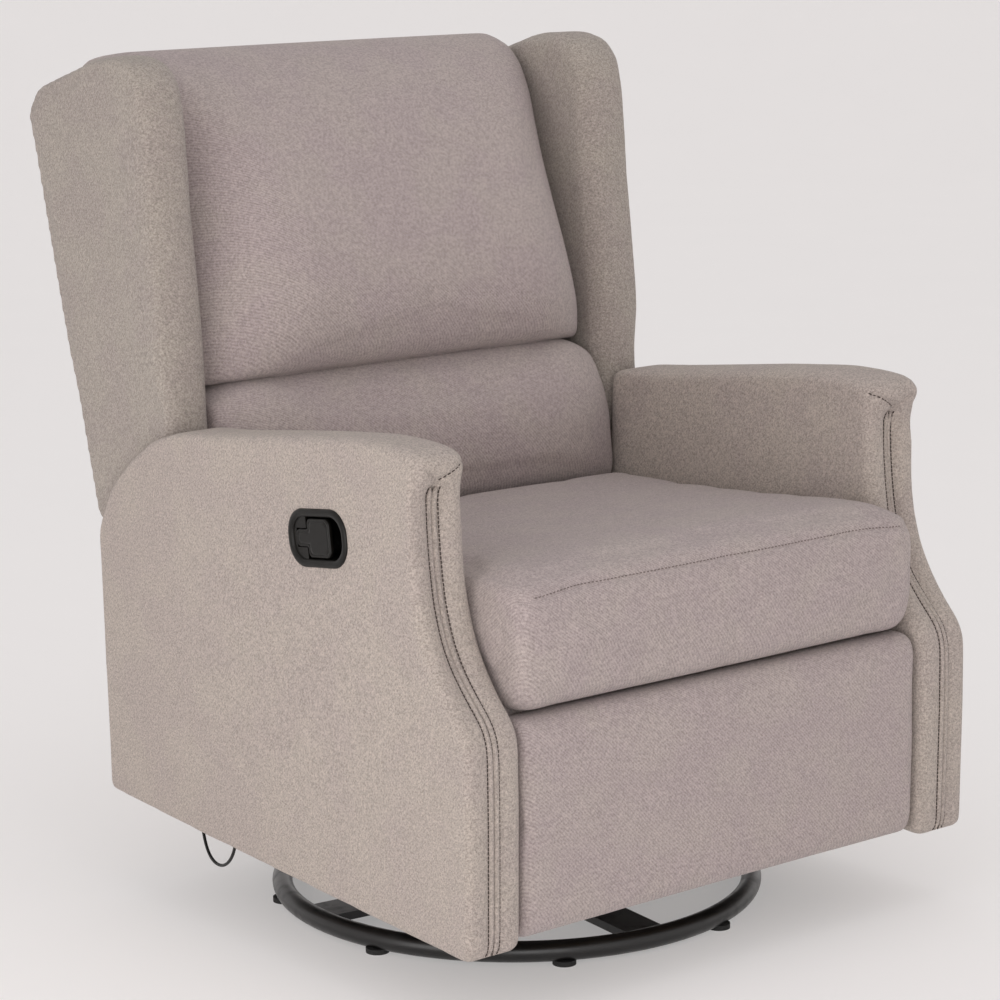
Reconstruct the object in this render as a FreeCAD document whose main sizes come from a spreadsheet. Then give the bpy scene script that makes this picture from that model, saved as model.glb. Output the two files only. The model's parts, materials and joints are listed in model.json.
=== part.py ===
"""A swivel glider nursery chair: ring base, glider, recliner seat, wing back and footrest.

Frame: millimetres, +Z up, -Y is the front of the chair, the origin is on the floor under
the middle of the chair's box.  "Right" and "left" are the sitter's: right is at -X.
"""
import FreeCAD, Part
import math
import os

import Sketcher
from FreeCAD import Placement, Rotation, Vector

DOC = FreeCAD.newDocument("glider_nursery_chair")
SHEET = DOC.addObject("Spreadsheet::Sheet", "Dims")
SIDES = (("right", -1), ("left", 1))

# ---------------------------------------------------------------- driving dimensions, mm
DRIVING = {
    # upholstered body
    "half_width": 384,         # outer face of an arm
    "arm_inner": 305,          # inner face of an arm
    "front_face": -437,        # front of the arms and of the seat cushion
    "panel": 10,               # thickness of the arm panels
    "front_board_depth": 22,   # thickness of the padded arm front
    "skirt_front": 96,         # lower edge of the body at the front
    "skirt_rear": 136,         # lower edge of the body at the back
    "arm_rear": 276,           # rear edge of the arms at the skirt
    "arm_top_front": 642,      # arm height just behind the front
    "arm_top_rear": 593,       # arm height where the wing stands
    "arm_pad_end": 125,        # where the arm pad stops in front of the wing
    "seat_half_width": 300,
    # back
    "foot_y": 308,             # lower end of the back's rear line
    "foot_z": 460,
    "back_tilt": 14.6,         # degrees that the back leans at rest
    "pivot_y": 198,            # recline axis
    "pivot_z": 440,
    "pivot_clear": 90,         # nothing of the wings comes nearer to the recline axis
    "wing_inner": 306,
    "wing_outer": 370,
    # base
    "axis_y": -49,             # swivel axis
    "ring_radius": 292,        # centre line of the base ring
    "tube_radius": 12.5,
    "ring_height": 16.5,       # centre of the ring's tube above the floor
    "foot_radius": 14,
    "base_turn": -6,           # how far the base is turned under the chair, degrees
    "bar_width": 50,
    "bar_thick": 10,
    # glider
    "hang_length": 110,        # pivot to pivot of a glide link
    "hang_spread": 130,        # link pivots in front of and behind the swivel axis
    "hang_low": 125,           # height of the lower link pivots
    "riser": 36,               # height of the tubes that lift the glider off the swivel
    "steel": 4,                # plate and link thickness
    # footrest linkage
    "drive_y": -315,           # axis of the footrest's drive tube
    "drive_z": 300,
    "link_length": 180,
    "link_width": 18,
    "pin_radius": 4,
    "fit": 0.05,               # radial clearance of a pin in its hole
    # latch
    "latch_y": -172,
    "latch_z": 520,
    "cable_radius": 2,
}
for row, (alias, number) in enumerate(DRIVING.items(), start=1):
    SHEET.set(f"A{row}", alias)
    SHEET.set(f"B{row}", str(number))
    SHEET.setAlias(f"B{row}", alias)
DOC.recompute()


class Dim:
    """A number that remembers the sheet formula that it came from."""

    def __init__(self, value, text):
        self.value = float(value)
        self.text = text

    def __add__(self, other):
        other = dim(other)
        return Dim(self.value + other.value, f"({self.text} + {other.text})")

    def __sub__(self, other):
        other = dim(other)
        return Dim(self.value - other.value, f"({self.text} - {other.text})")

    def __mul__(self, other):
        other = dim(other)
        return Dim(self.value * other.value, f"({self.text} * {other.text})")

    def __truediv__(self, other):
        other = dim(other)
        return Dim(self.value / other.value, f"({self.text} / {other.text})")

    def __neg__(self):
        return Dim(-self.value, f"(0 - {self.text})")

    def __radd__(self, other):
        return dim(other) + self

    def __rsub__(self, other):
        return dim(other) - self

    def __rmul__(self, other):
        return dim(other) * self


def dim(number):
    """Turn a plain number into a Dim."""
    if isinstance(number, Dim):
        return number
    return Dim(number, f"({number:.6f})")


class Sheet:
    """Reads a driving dimension by its alias, as SIZE.alias."""

    def __getattr__(self, alias):
        return Dim(DRIVING[alias], f"Dims.{alias}")


SIZE = Sheet()


def bind(thing, prop, number):
    """Set a property from a Dim and tie it to the sheet."""
    thing.setExpression(prop, dim(number).text)


def place(thing, x=0, y=0, z=0):
    """Tie where an object stands to the sheet."""
    for letter, number in zip("xyz", (x, y, z)):
        bind(thing, f"Placement.Base.{letter}", number)


# ---------------------------------------------------------------- ways to make a piece
NODES = []


def node(name, thing):
    """Name a finished object: its label is the name of its file."""
    thing.Label = name
    NODES.append(thing)
    return thing


def origin_plane(body, role):
    """Return one of a body's own origin planes."""
    for feature in body.Origin.OriginFeatures:
        if feature.Role == role:
            return feature
    raise ValueError(role)


def pin_point(sketch, geometry, where, point):
    """Hold a point of a sketch at its place, both ways, with formulas."""
    for kind, number in zip(("DistanceX", "DistanceY"), point):
        number = dim(number)
        index = sketch.addConstraint(
            Sketcher.Constraint(kind, -1, 1, geometry, where, number.value)
        )
        sketch.setExpression(f"Constraints[{index}]", number.text)


def draw_outline(sketch, points):
    """A closed run of straight lines through points, each a pair of Dims."""
    first = sketch.GeometryCount
    count = len(points)
    vectors = [Vector(dim(a).value, dim(b).value, 0) for a, b in points]
    for index in range(count):
        line = Part.LineSegment(vectors[index], vectors[(index + 1) % count])
        sketch.addGeometry(line, False)
    for index in range(count):
        following = first + (index + 1) % count
        joint = Sketcher.Constraint("Coincident", first + index, 2, following, 1)
        sketch.addConstraint(joint)
        pin_point(sketch, first + index, 1, points[index])


def draw_hole(sketch, centre, radius):
    """A circle, for a hole."""
    flat = Vector(dim(centre[0]).value, dim(centre[1]).value, 0)
    circle = Part.Circle(flat, Vector(0, 0, 1), dim(radius).value)
    index = sketch.addGeometry(circle, False)
    pin_point(sketch, index, 3, centre)
    size = sketch.addConstraint(Sketcher.Constraint("Radius", index, dim(radius).value))
    sketch.setExpression(f"Constraints[{size}]", dim(radius).text)


def round_corners(body, pad, points, rounds, axis):
    """Fillet the edges that stand on the named corners of the outline."""
    DOC.recompute()
    flat = [i for i in range(3) if i != axis]
    last = pad
    for corners, radius in rounds:
        wanted = [tuple(dim(v).value for v in points[corner]) for corner in corners]
        names = []
        for index, edge in enumerate(last.Shape.Edges, start=1):
            ends = [vertex.Point for vertex in edge.Vertexes]
            if len(ends) != 2 or abs(ends[0][axis] - ends[1][axis]) < 0.01:
                continue
            for spot in wanted:
                if all(
                    abs(end[flat[0]] - spot[0]) < 0.01 and abs(end[flat[1]] - spot[1]) < 0.01
                    for end in ends
                ):
                    names.append(f"Edge{index}")
        fillet = body.newObject("PartDesign::Fillet", "Rounds")
        fillet.Base = (last, names)
        fillet.Radius = dim(radius).value
        bind(fillet, "Radius", radius)
        DOC.recompute()
        last = fillet
    body.Tip = last


def plate(name, points, start, thickness, plane="YZ", holes=(), windows=(), rounds=()):
    """A flat piece: an outline in a plane, padded along the plane's normal from start."""
    body = DOC.addObject("PartDesign::Body", name)
    sketch = body.newObject("Sketcher::SketchObject", "Outline")
    sketch.AttachmentSupport = [(origin_plane(body, f"{plane}_Plane"), "")]
    sketch.MapMode = "FlatFace"
    draw_outline(sketch, points)
    for window in windows:
        draw_outline(sketch, window)
    for centre, radius in holes:
        draw_hole(sketch, centre, radius)
    pad = body.newObject("PartDesign::Pad", "Pad")
    pad.Profile = sketch
    pad.Length = dim(thickness).value
    bind(pad, "Length", thickness)
    if rounds:
        round_corners(body, pad, points, rounds, 0 if plane == "YZ" else 2)
    if plane == "YZ":
        place(body, x=start)
    else:
        place(body, z=start)
    return body


def on_side(sign, inner, thickness):
    """Where a plate starts along X so that its inner face is at inner on that side."""
    return inner if sign > 0 else -(inner + thickness)


def rectangle(low, high, bottom, top):
    """The four corners of a rectangle."""
    return [(low, bottom), (high, bottom), (high, top), (low, top)]


def box(name, x, y, z):
    """A plain block between two values along each axis."""
    block = DOC.addObject("Part::Box", name)
    for prop, (low, high) in zip(("Length", "Width", "Height"), (x, y, z)):
        bind(block, prop, dim(high) - low)
    place(block, x[0], y[0], z[0])
    return block


def rod(name, radius, length, at, axis="Z"):
    """A round bar that starts at a point and runs along an axis."""
    bar = DOC.addObject("Part::Cylinder", name)
    bind(bar, "Radius", radius)
    bind(bar, "Height", length)
    turns = {"X": Rotation(Vector(0, 1, 0), 90), "Y": Rotation(Vector(1, 0, 0), -90)}
    bar.Placement = Placement(Vector(), turns.get(axis, Rotation()))
    place(bar, *at)
    return bar


def stud(name, sign, start, end, point, radius):
    """A pin along X, from start to end on one side of the chair."""
    low = start if sign > 0 else -dim(end)
    return rod(name, radius, dim(end) - start, (low, *point), "X")


def fuse(name, things):
    """Weld several objects into one."""
    joined = DOC.addObject("Part::MultiFuse", name)
    joined.Shapes = things
    return joined


def cut(name, base, tool):
    """Take one object away from another."""
    result = DOC.addObject("Part::Cut", name)
    result.Base = base
    result.Tool = tool
    return result


def group(name, things):
    """Several separate solids that share a node."""
    bundle = DOC.addObject("Part::Compound", name)
    bundle.Links = things
    return bundle


def made(name, shape):
    """A piece whose shape comes from Part's own functions."""
    thing = DOC.addObject("Part::Feature", name)
    thing.Shape = shape
    return thing


# ---------------------------------------------------------------- base and swivel
def build_base():
    """The ring that stands on the floor, with its two bars, feet and ball race."""
    radius = SIZE.ring_radius
    turn = Rotation(Vector(0, 0, 1), DRIVING["base_turn"])
    ring = DOC.addObject("Part::Torus", "base_ring")
    bind(ring, "Radius1", radius)
    bind(ring, "Radius2", SIZE.tube_radius)
    place(ring, 0, SIZE.axis_y, SIZE.ring_height)
    node("base_ring", ring)

    bars = []
    for along in (0, 1):
        bar = DOC.addObject("Part::Box", "bar")
        sizes = (radius * 2, SIZE.bar_width)
        bind(bar, "Length", sizes[along])
        bind(bar, "Width", sizes[1 - along])
        bind(bar, "Height", SIZE.bar_thick)
        half = [DRIVING["ring_radius"], DRIVING["bar_width"] / 2]
        low = Vector(-half[along], -half[1 - along], 0)
        bar.Placement = Placement(turn.multVec(low), turn)
        shift = turn.multVec(low)
        place(bar, shift.x, SIZE.axis_y + shift.y, SIZE.ring_height - SIZE.bar_thick / 2)
        bars.append(bar)
    long_bar = node("base_bar_long", cut("base_bar_long", bars[0], ring))
    short_bars = cut("bar_ends", bars[1], ring)
    node("base_bar_short", cut("base_bar_short", short_bars, long_bar))

    feet = []
    count = 8
    for index in range(count):
        angle = math.radians(DRIVING["base_turn"] + (index + 0.5) * 360 / count)
        at = (radius * math.cos(angle), SIZE.axis_y + radius * math.sin(angle), 0)
        feet.append(rod("foot", SIZE.foot_radius, SIZE.ring_height - 10.5, at))
    node("base_glides", cut("base_glides", group("feet", feet), ring))

    top = SIZE.ring_height + SIZE.bar_thick / 2
    steel = SIZE.steel
    race = 8.6
    lower = rod("lower_disc", 100, steel, (0, SIZE.axis_y, top))
    king_pin = rod("king_pin", 10, steel * 2 + race + 8, (0, SIZE.axis_y, top))
    node("swivel_lower_plate", fuse("swivel_lower_plate", [lower, king_pin]))
    balls = []
    for index in range(16):
        angle = math.radians(index * 22.5)
        ball = DOC.addObject("Part::Sphere", "ball")
        bind(ball, "Radius", 4)
        place(ball, 70 * math.cos(angle), SIZE.axis_y + 70 * math.sin(angle), top + steel + 4)
        balls.append(ball)
    node("swivel_balls", group("swivel_balls", balls))
    return top + steel + race


def build_turntable(floor):
    """The part that turns on the ball race and carries the glide links."""
    steel = SIZE.steel
    disc = rod("upper_disc", 100, steel, (0, SIZE.axis_y, floor))
    bore = rod("upper_bore", 10 + SIZE.fit, steel, (0, SIZE.axis_y, floor))
    node("swivel_upper_plate", cut("swivel_upper_plate", disc, bore))

    bottom = floor + steel
    low = bottom + SIZE.riser
    high = low + 25
    tubes = []
    for sign in (-1, 1):
        middle = SIZE.axis_y + 80 * sign
        tubes.append(box("cross_tube", (-280, 280), (middle - 12.5, middle + 12.5), (low, high)))
        across = 60 * sign
        span = (SIZE.axis_y - 92.5, SIZE.axis_y + 92.5)
        tubes.append(box("riser_tube", (across - 12.5, across + 12.5), span, (bottom, low)))
    node("turntable_frame", fuse("turntable_frame", tubes))

    top = SIZE.hang_low + SIZE.hang_length
    for side, sign in SIDES:
        wide = SIZE.hang_spread + 20
        slim = SIZE.hang_spread - 20
        mid = SIZE.axis_y
        outline = [
            (mid - wide, low),
            (mid + wide, low),
            (mid + wide, top + 15),
            (mid + slim, top + 15),
            (mid + slim, high + 6),
            (mid - slim, high + 6),
            (mid - slim, top + 15),
            (mid - wide, top + 15),
        ]
        flat = plate(
            f"bracket_{side}",
            outline,
            on_side(sign, dim(280), steel),
            steel,
            rounds=[((2, 3, 6, 7), 14), ((4, 5), 20)],
        )
        studs = [
            stud("glide_stud", sign, 283, 290, (mid + reach, top), SIZE.pin_radius)
            for reach in (SIZE.hang_spread, -SIZE.hang_spread)
        ]
        node(f"glide_bracket_{side}", fuse(f"glide_bracket_{side}", [flat, *studs]))


def link(name, start, end, inner, sign, bores, width=None):
    """A flat steel link between two points, with round ends and a bore at each pivot."""
    width = width or SIZE.link_width
    run = (dim(end[0]) - start[0], dim(end[1]) - start[1])
    length = math.hypot(run[0].value, run[1].value)
    along = (run[0].value / length, run[1].value / length)
    half = width / 2
    points = []
    for point, reach in ((start, -1), (end, 1)):
        for turn in (-reach, reach):
            points.append(
                (
                    point[0] + half * (along[0] * reach - along[1] * turn),
                    point[1] + half * (along[1] * reach + along[0] * turn),
                )
            )
    return plate(
        name,
        points,
        on_side(sign, dim(inner), SIZE.steel),
        SIZE.steel,
        holes=[(point, SIZE.pin_radius + SIZE.fit) for point in bores],
        rounds=[((0, 1, 2, 3), half * 0.98)],
    )


def build_glide_links():
    """Four links from which the chair hangs and swings."""
    low = SIZE.hang_low
    for place_name, reach in (("front", -SIZE.hang_spread), ("rear", SIZE.hang_spread)):
        for side, sign in SIDES:
            upper = (SIZE.axis_y + reach, low + SIZE.hang_length)
            lower = (SIZE.axis_y + reach, low)
            name = f"glide_link_{place_name}_{side}"
            node(name, link(name, upper, lower, 285.5, sign, (upper, lower), dim(22)))


# ---------------------------------------------------------------- chair body on the glider
def skirt(y):
    """Height of the body's lower edge at a depth: it rises from front to back."""
    slope = (SIZE.skirt_rear - SIZE.skirt_front) / (SIZE.arm_rear - SIZE.front_face)
    return SIZE.skirt_front + (dim(y) - SIZE.front_face) * slope


def arm_top(y):
    """Height of the arm's crown at a depth."""
    slope = (SIZE.arm_top_rear - SIZE.arm_top_front) / 380
    return SIZE.arm_top_front + (dim(y) + 256) * slope


def arm_front_line(back=0):
    """The arm's front edge from the floor up: straight, a knee, then a sweep to the top."""
    front = SIZE.front_face + back
    return [
        (front, skirt(front)),
        (front, dim(345)),
        (front + 84, dim(482)),
        (front + 96, dim(600)),
    ]


def build_mechanism_plates():
    """Side plates that join the glider, the arms and the back's hinge."""
    steel = SIZE.steel
    low = SIZE.hang_low
    pivot = (SIZE.pivot_y, SIZE.pivot_z)
    for side, sign in SIDES:
        outline = [
            (dim(-290), low - 13),
            (dim(200), low - 13),
            (pivot[0] + 22, low + 40),
            (pivot[0] + 18, pivot[1] + 17),
            (pivot[0] - 18, pivot[1] + 17),
            (pivot[0] - 30, dim(325)),
            (dim(-290), dim(325)),
        ]
        window = [
            (dim(-255), low + 20),
            (dim(150), low + 20),
            (dim(150), dim(298)),
            (dim(-255), dim(298)),
        ]
        flat = plate(
            f"side_plate_{side}",
            outline,
            on_side(sign, dim(291), steel),
            steel,
            windows=[window],
            rounds=[((3, 4), 16), ((0, 6), 10)],
        )
        parts = [flat]
        for reach in (SIZE.hang_spread, -SIZE.hang_spread):
            point = (SIZE.axis_y + reach, low)
            parts.append(stud("hang_stud", sign, 285, 292, point, SIZE.pin_radius))
        parts.append(stud("hinge_stud", sign, 294, 301.5, pivot, SIZE.pin_radius + 1))
        rail_x = (dim(295), SIZE.arm_inner) if sign > 0 else (-SIZE.arm_inner, dim(-295))
        parts.append(box("arm_rail", rail_x, (-290, 90), (301, 325)))
        guide_x = (280, 291) if sign > 0 else (-291, -280)
        parts.append(box("seat_guide", guide_x, (-285, -40), (303, 312)))
        if side == "right":
            parts.append(box("cable_stop", (-307, -295), (184, 204), (204, 224)))
            parts.append(stud("pawl_stud", sign, 294, 300, (194, 262), SIZE.pin_radius))
        node(f"mechanism_plate_{side}", fuse(f"mechanism_plate_{side}", parts))
    tubes = [rod("tube", 12, 582, (-291, y, 150), "X") for y in (-262, 180)]
    node("frame_cross_tubes", group("frame_cross_tubes", tubes))


def build_arms():
    """Both upholstered arms: outer and inner panel, padded front and top pad."""
    depth = SIZE.front_board_depth
    for side, sign in SIDES:
        name = f"arm_{side}"
        front = arm_front_line(depth)
        end = SIZE.arm_pad_end
        rear = SIZE.arm_rear
        outline = front + [
            (end, arm_top(end) - 30),
            (end, arm_top(end) + 3),
            (dim(160), dim(584)),
            (dim(211), dim(552)),
            (dim(253), dim(515)),
            (rear + 9, dim(462)),
            (rear, SIZE.skirt_rear),
        ]
        windows = []
        if side == "right":
            windows.append(latch_outline(49.5, 26))
        outer = plate(
            f"{name}_outer_panel",
            outline,
            on_side(sign, SIZE.half_width - SIZE.panel, SIZE.panel),
            SIZE.panel,
            windows=windows,
            rounds=[((1, 2), 25)],
        )
        node(f"{name}_outer_panel", outer)

        inner = plate(
            f"{name}_inner_panel",
            front + [(dim(95), arm_top(95) - 32), (dim(95), skirt(95))],
            on_side(sign, SIZE.arm_inner, SIZE.panel),
            SIZE.panel,
            rounds=[((1, 2), 25)],
        )
        node(f"{name}_inner_panel", inner)

        face = arm_front_line()
        board = plate(
            f"{name}_front_board",
            face + front[::-1],
            on_side(sign, SIZE.arm_inner, SIZE.half_width - SIZE.arm_inner),
            SIZE.half_width - SIZE.arm_inner,
            rounds=[((1,), 25), ((6,), 25), ((2, 5), 40)],
        )
        node(f"{name}_front_board", board)

        pad = plate(
            f"{name}_top_pad",
            [
                (SIZE.front_face + 78, dim(604.5)),
                (end, arm_top(end) - 29),
                (end, arm_top(end)),
                (dim(-256), SIZE.arm_top_front),
                (dim(-325), SIZE.arm_top_front - 1),
                (dim(-364), dim(628)),
                (dim(-368), dim(606)),
            ],
            on_side(sign, SIZE.arm_inner - 2, 85),
            85,
            rounds=[((3, 4, 5, 6), 6)],
        )
        node(f"{name}_top_pad", pad)

    tall = [(SIZE.arm_rear - 14, SIZE.skirt_rear), (SIZE.arm_rear - 2, SIZE.skirt_rear)]
    tall += [(SIZE.arm_rear - 2, dim(445)), (SIZE.arm_rear - 14, dim(445))]
    wide = SIZE.half_width - SIZE.panel - 2
    node("lower_back_panel", plate("lower_back_panel", tall, -wide, wide * 2))


# ---------------------------------------------------------------- latch and its cable
def latch_outline(half_long, half_high):
    """An eight-sided rounded shape round the latch's centre."""
    slope = 0.4
    corner = half_high * 0.75
    sides = []
    for a, b in ((-1, -1), (1, -1), (1, 1), (-1, 1)):
        wide = (SIZE.latch_y + a * (half_long - corner), SIZE.latch_z + b * half_high)
        high = (SIZE.latch_y + a * half_long, SIZE.latch_z + b * (half_high - corner * slope))
        sides += [high, wide] if a * b > 0 else [wide, high]
    return sides


def build_latch():
    """The recessed cup in the right arm, with the paddle that releases the footrest."""
    face = -SIZE.half_width
    flange = plate("flange", latch_outline(55, 31.5), face - 3, 3)
    cup = plate("cup", latch_outline(49, 25.5), face, 32)
    hollow = plate("hollow", latch_outline(46, 22.5), face - 3, 32)
    shell = cut("latch_shell", fuse("cup_and_flange", [flange, cup]), hollow)
    node("latch_housing", shell)

    y = SIZE.latch_y
    z = SIZE.latch_z
    outline = [
        (y - 25, z - 19),
        (y + 18, z - 19),
        (y + 18, z - 9),
        (y + 39, z - 9),
        (y + 39, z + 9),
        (y + 18, z + 9),
        (y + 18, z + 19),
        (y - 25, z + 19),
    ]
    blade = plate("blade", outline, face - 2, 5, rounds=[((0, 7), 8), ((1, 6), 4)])
    trunnion = rod("trunnion", 2.5, 40, (face + 3, y + 32, z - 20))
    node("latch_paddle", fuse("latch_paddle", [blade, trunnion]))

    outline = [(186, 254), (202, 254), (200, 312), (190, 312)]
    pawl = plate(
        "release_pawl",
        outline,
        -299,
        3,
        holes=[((194, 262), SIZE.pin_radius + SIZE.fit)],
        rounds=[((0, 1, 2, 3), 4)],
    )
    node("release_pawl", pawl)


CABLE = [
    (-364, -150, 494.5),
    (-364, -150, 468),
    (-361, -140, 438),
    (-356, -118, 408),
    (-350, -86, 378),
    (-345, -48, 346),
    (-341, -12, 312),
    (-340, 20, 274),
    (-340, 44, 230),
    (-340, 58, 180),
    (-340, 66, 128),
    (-339, 74, 82),
    (-337, 102, 56),
    (-333, 138, 58),
    (-325, 166, 88),
    (-312, 184, 132),
    (-301, 194, 172),
    (-301, 194, 204),
]


def rounded_route(points):
    """Straight runs joined by the largest tangent arcs that they allow."""
    points = [Vector(*point) for point in points]
    edges = []
    start = points[0]
    for before, corner, after in zip(points, points[1:], points[2:]):
        into = (corner - before).normalize()
        out = (after - corner).normalize()
        turn = into.getAngle(out)
        reach = 0.45 * min(corner.distanceToPoint(before), corner.distanceToPoint(after))
        radius = reach / math.tan(turn / 2)
        first = corner - into * reach
        last = corner + out * reach
        bow = (out - into).normalize()
        middle = corner + bow * (radius / math.cos(turn / 2) - radius)
        edges.append(Part.LineSegment(start, first).toShape())
        edges.append(Part.Arc(first, middle, last).toShape())
        print(f"cable turn {math.degrees(turn):.0f} degrees, radius {radius:.0f} mm")
        start = last
    edges.append(Part.LineSegment(start, points[-1]).toShape())
    return Part.Wire(edges)


def tube_along(wire, radius):
    """A round tube swept along a wire."""
    start = wire.Edges[0]
    direction = start.tangentAt(start.FirstParameter)
    ring = Part.Wire(Part.Circle(start.Vertexes[0].Point, direction, radius).toShape())
    return wire.makePipeShell([ring], True, False)


def build_cable():
    """The release cable: from the latch through the arm, in a loop under it, to its stop."""
    wire = rounded_route(CABLE)
    tube = tube_along(wire, DRIVING["cable_radius"])
    ideal = math.pi * DRIVING["cable_radius"] ** 2 * wire.Length
    print(f"cable {wire.Length:.0f} mm long, volume {tube.Volume / ideal:.4f} of ideal")
    node("release_cable", made("release_cable", tube))


# ---------------------------------------------------------------- seat
def serpentine(length, width, pitch, radius):
    """A zigzag spring wire along Y: straight rungs joined by half circles."""
    rungs = int(length / pitch)
    turn = pitch / 2
    half = width / 2 - turn
    edges = []
    for index in range(rungs):
        y = index * pitch
        side = 1 if index % 2 == 0 else -1
        start = Vector(-half * side, y, 0)
        end = Vector(half * side, y, 0)
        edges.append(Part.LineSegment(start, end).toShape())
        if index < rungs - 1:
            top = Vector((half + turn) * side, y + turn, 0)
            after = Vector(half * side, y + pitch, 0)
            edges.append(Part.Arc(end, top, after).toShape())
    return tube_along(Part.Wire(edges), radius)


def build_seat():
    """The seat: side plates, frame, springs and cushion, which slide forward together."""
    steel = SIZE.steel
    a_y = SIZE.drive_y
    a_z = SIZE.drive_z
    for side, sign in SIDES:
        outline = [
            (a_y - 38, a_z - 192),
            (a_y + 22, a_z - 192),
            (a_y + 22, dim(296)),
            (dim(60), dim(296)),
            (dim(60), dim(324)),
            (a_y - 38, dim(324)),
        ]
        flat = plate(
            f"seat_plate_{side}",
            outline,
            on_side(sign, dim(270), steel),
            steel,
            holes=[((a_y, a_z), 6 + SIZE.fit)],
            windows=[slot_outline()],
            rounds=[((0, 1), 8)],
        )
        runner_x = (274, 290) if sign > 0 else (-290, -274)
        runner = box("runner", runner_x, (-285, 40), (312.6, 320))
        node(f"seat_side_plate_{side}", fuse(f"seat_side_plate_{side}", [flat, runner]))

    frame = plate(
        "seat_frame",
        rectangle(-284, 284, dim(-384), dim(96)),
        324,
        26,
        plane="XY",
        windows=[rectangle(-244, 244, dim(-346), dim(56))],
    )
    node("seat_frame", frame)

    springs = []
    for x in (-180, -90, 0, 90, 180):
        spring = serpentine(450, 56, 25, 2)
        spring.translate(Vector(x, -362, 352.3))
        springs.append(spring)
    node("seat_springs", made("seat_springs", Part.makeCompound(springs)))

    front = SIZE.front_face
    half = SIZE.seat_half_width
    cushion = plate(
        "seat_cushion",
        [
            (front + 18, 357),
            (70, 357),
            (102, 385),
            (100, 460),
            (-300, 497),
            (front + 16, 491),
            (front, 474),
            (front, 378),
        ],
        -half,
        half * 2,
    )
    node("seat_cushion", cushion)


# ---------------------------------------------------------------- footrest
DRIVE_SWING = (-82, -10)    # degrees of the drive link from straight ahead, stowed and out
CROSS_SWING = (82, 45)      # the same for the cross link


def swing(angle):
    """Unit run of a link at an angle above straight ahead, as (y, z)."""
    return (-math.cos(math.radians(angle)), math.sin(math.radians(angle)))


def slot_outline():
    """The curved slot that the cross link's lower pin follows."""
    steps = 8
    path = []
    for step in range(steps + 1):
        share = step / steps
        drive = swing(DRIVE_SWING[0] + share * (DRIVE_SWING[1] - DRIVE_SWING[0]))
        cross = swing(CROSS_SWING[0] + share * (CROSS_SWING[1] - CROSS_SWING[0]))
        path.append([SIZE.link_length / 2 * (drive[i] - cross[i]) for i in (0, 1)])
    half = 5.5
    edges = ([], [])
    for step, (y, z) in enumerate(path):
        before = path[max(step - 1, 0)]
        after = path[min(step + 1, steps)]
        run = [after[i].value - before[i].value for i in (0, 1)]
        length = math.hypot(*run)
        along = [value / length * half for value in run]
        past = {0: -1, steps: 1}.get(step, 0)
        for edge, side in zip(edges, (-1, 1)):
            edge.append(
                (
                    SIZE.drive_y + y + (past * along[0] - side * along[1]),
                    SIZE.drive_z + z + (past * along[1] + side * along[0]),
                )
            )
    return edges[0] + edges[1][::-1]


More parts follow.
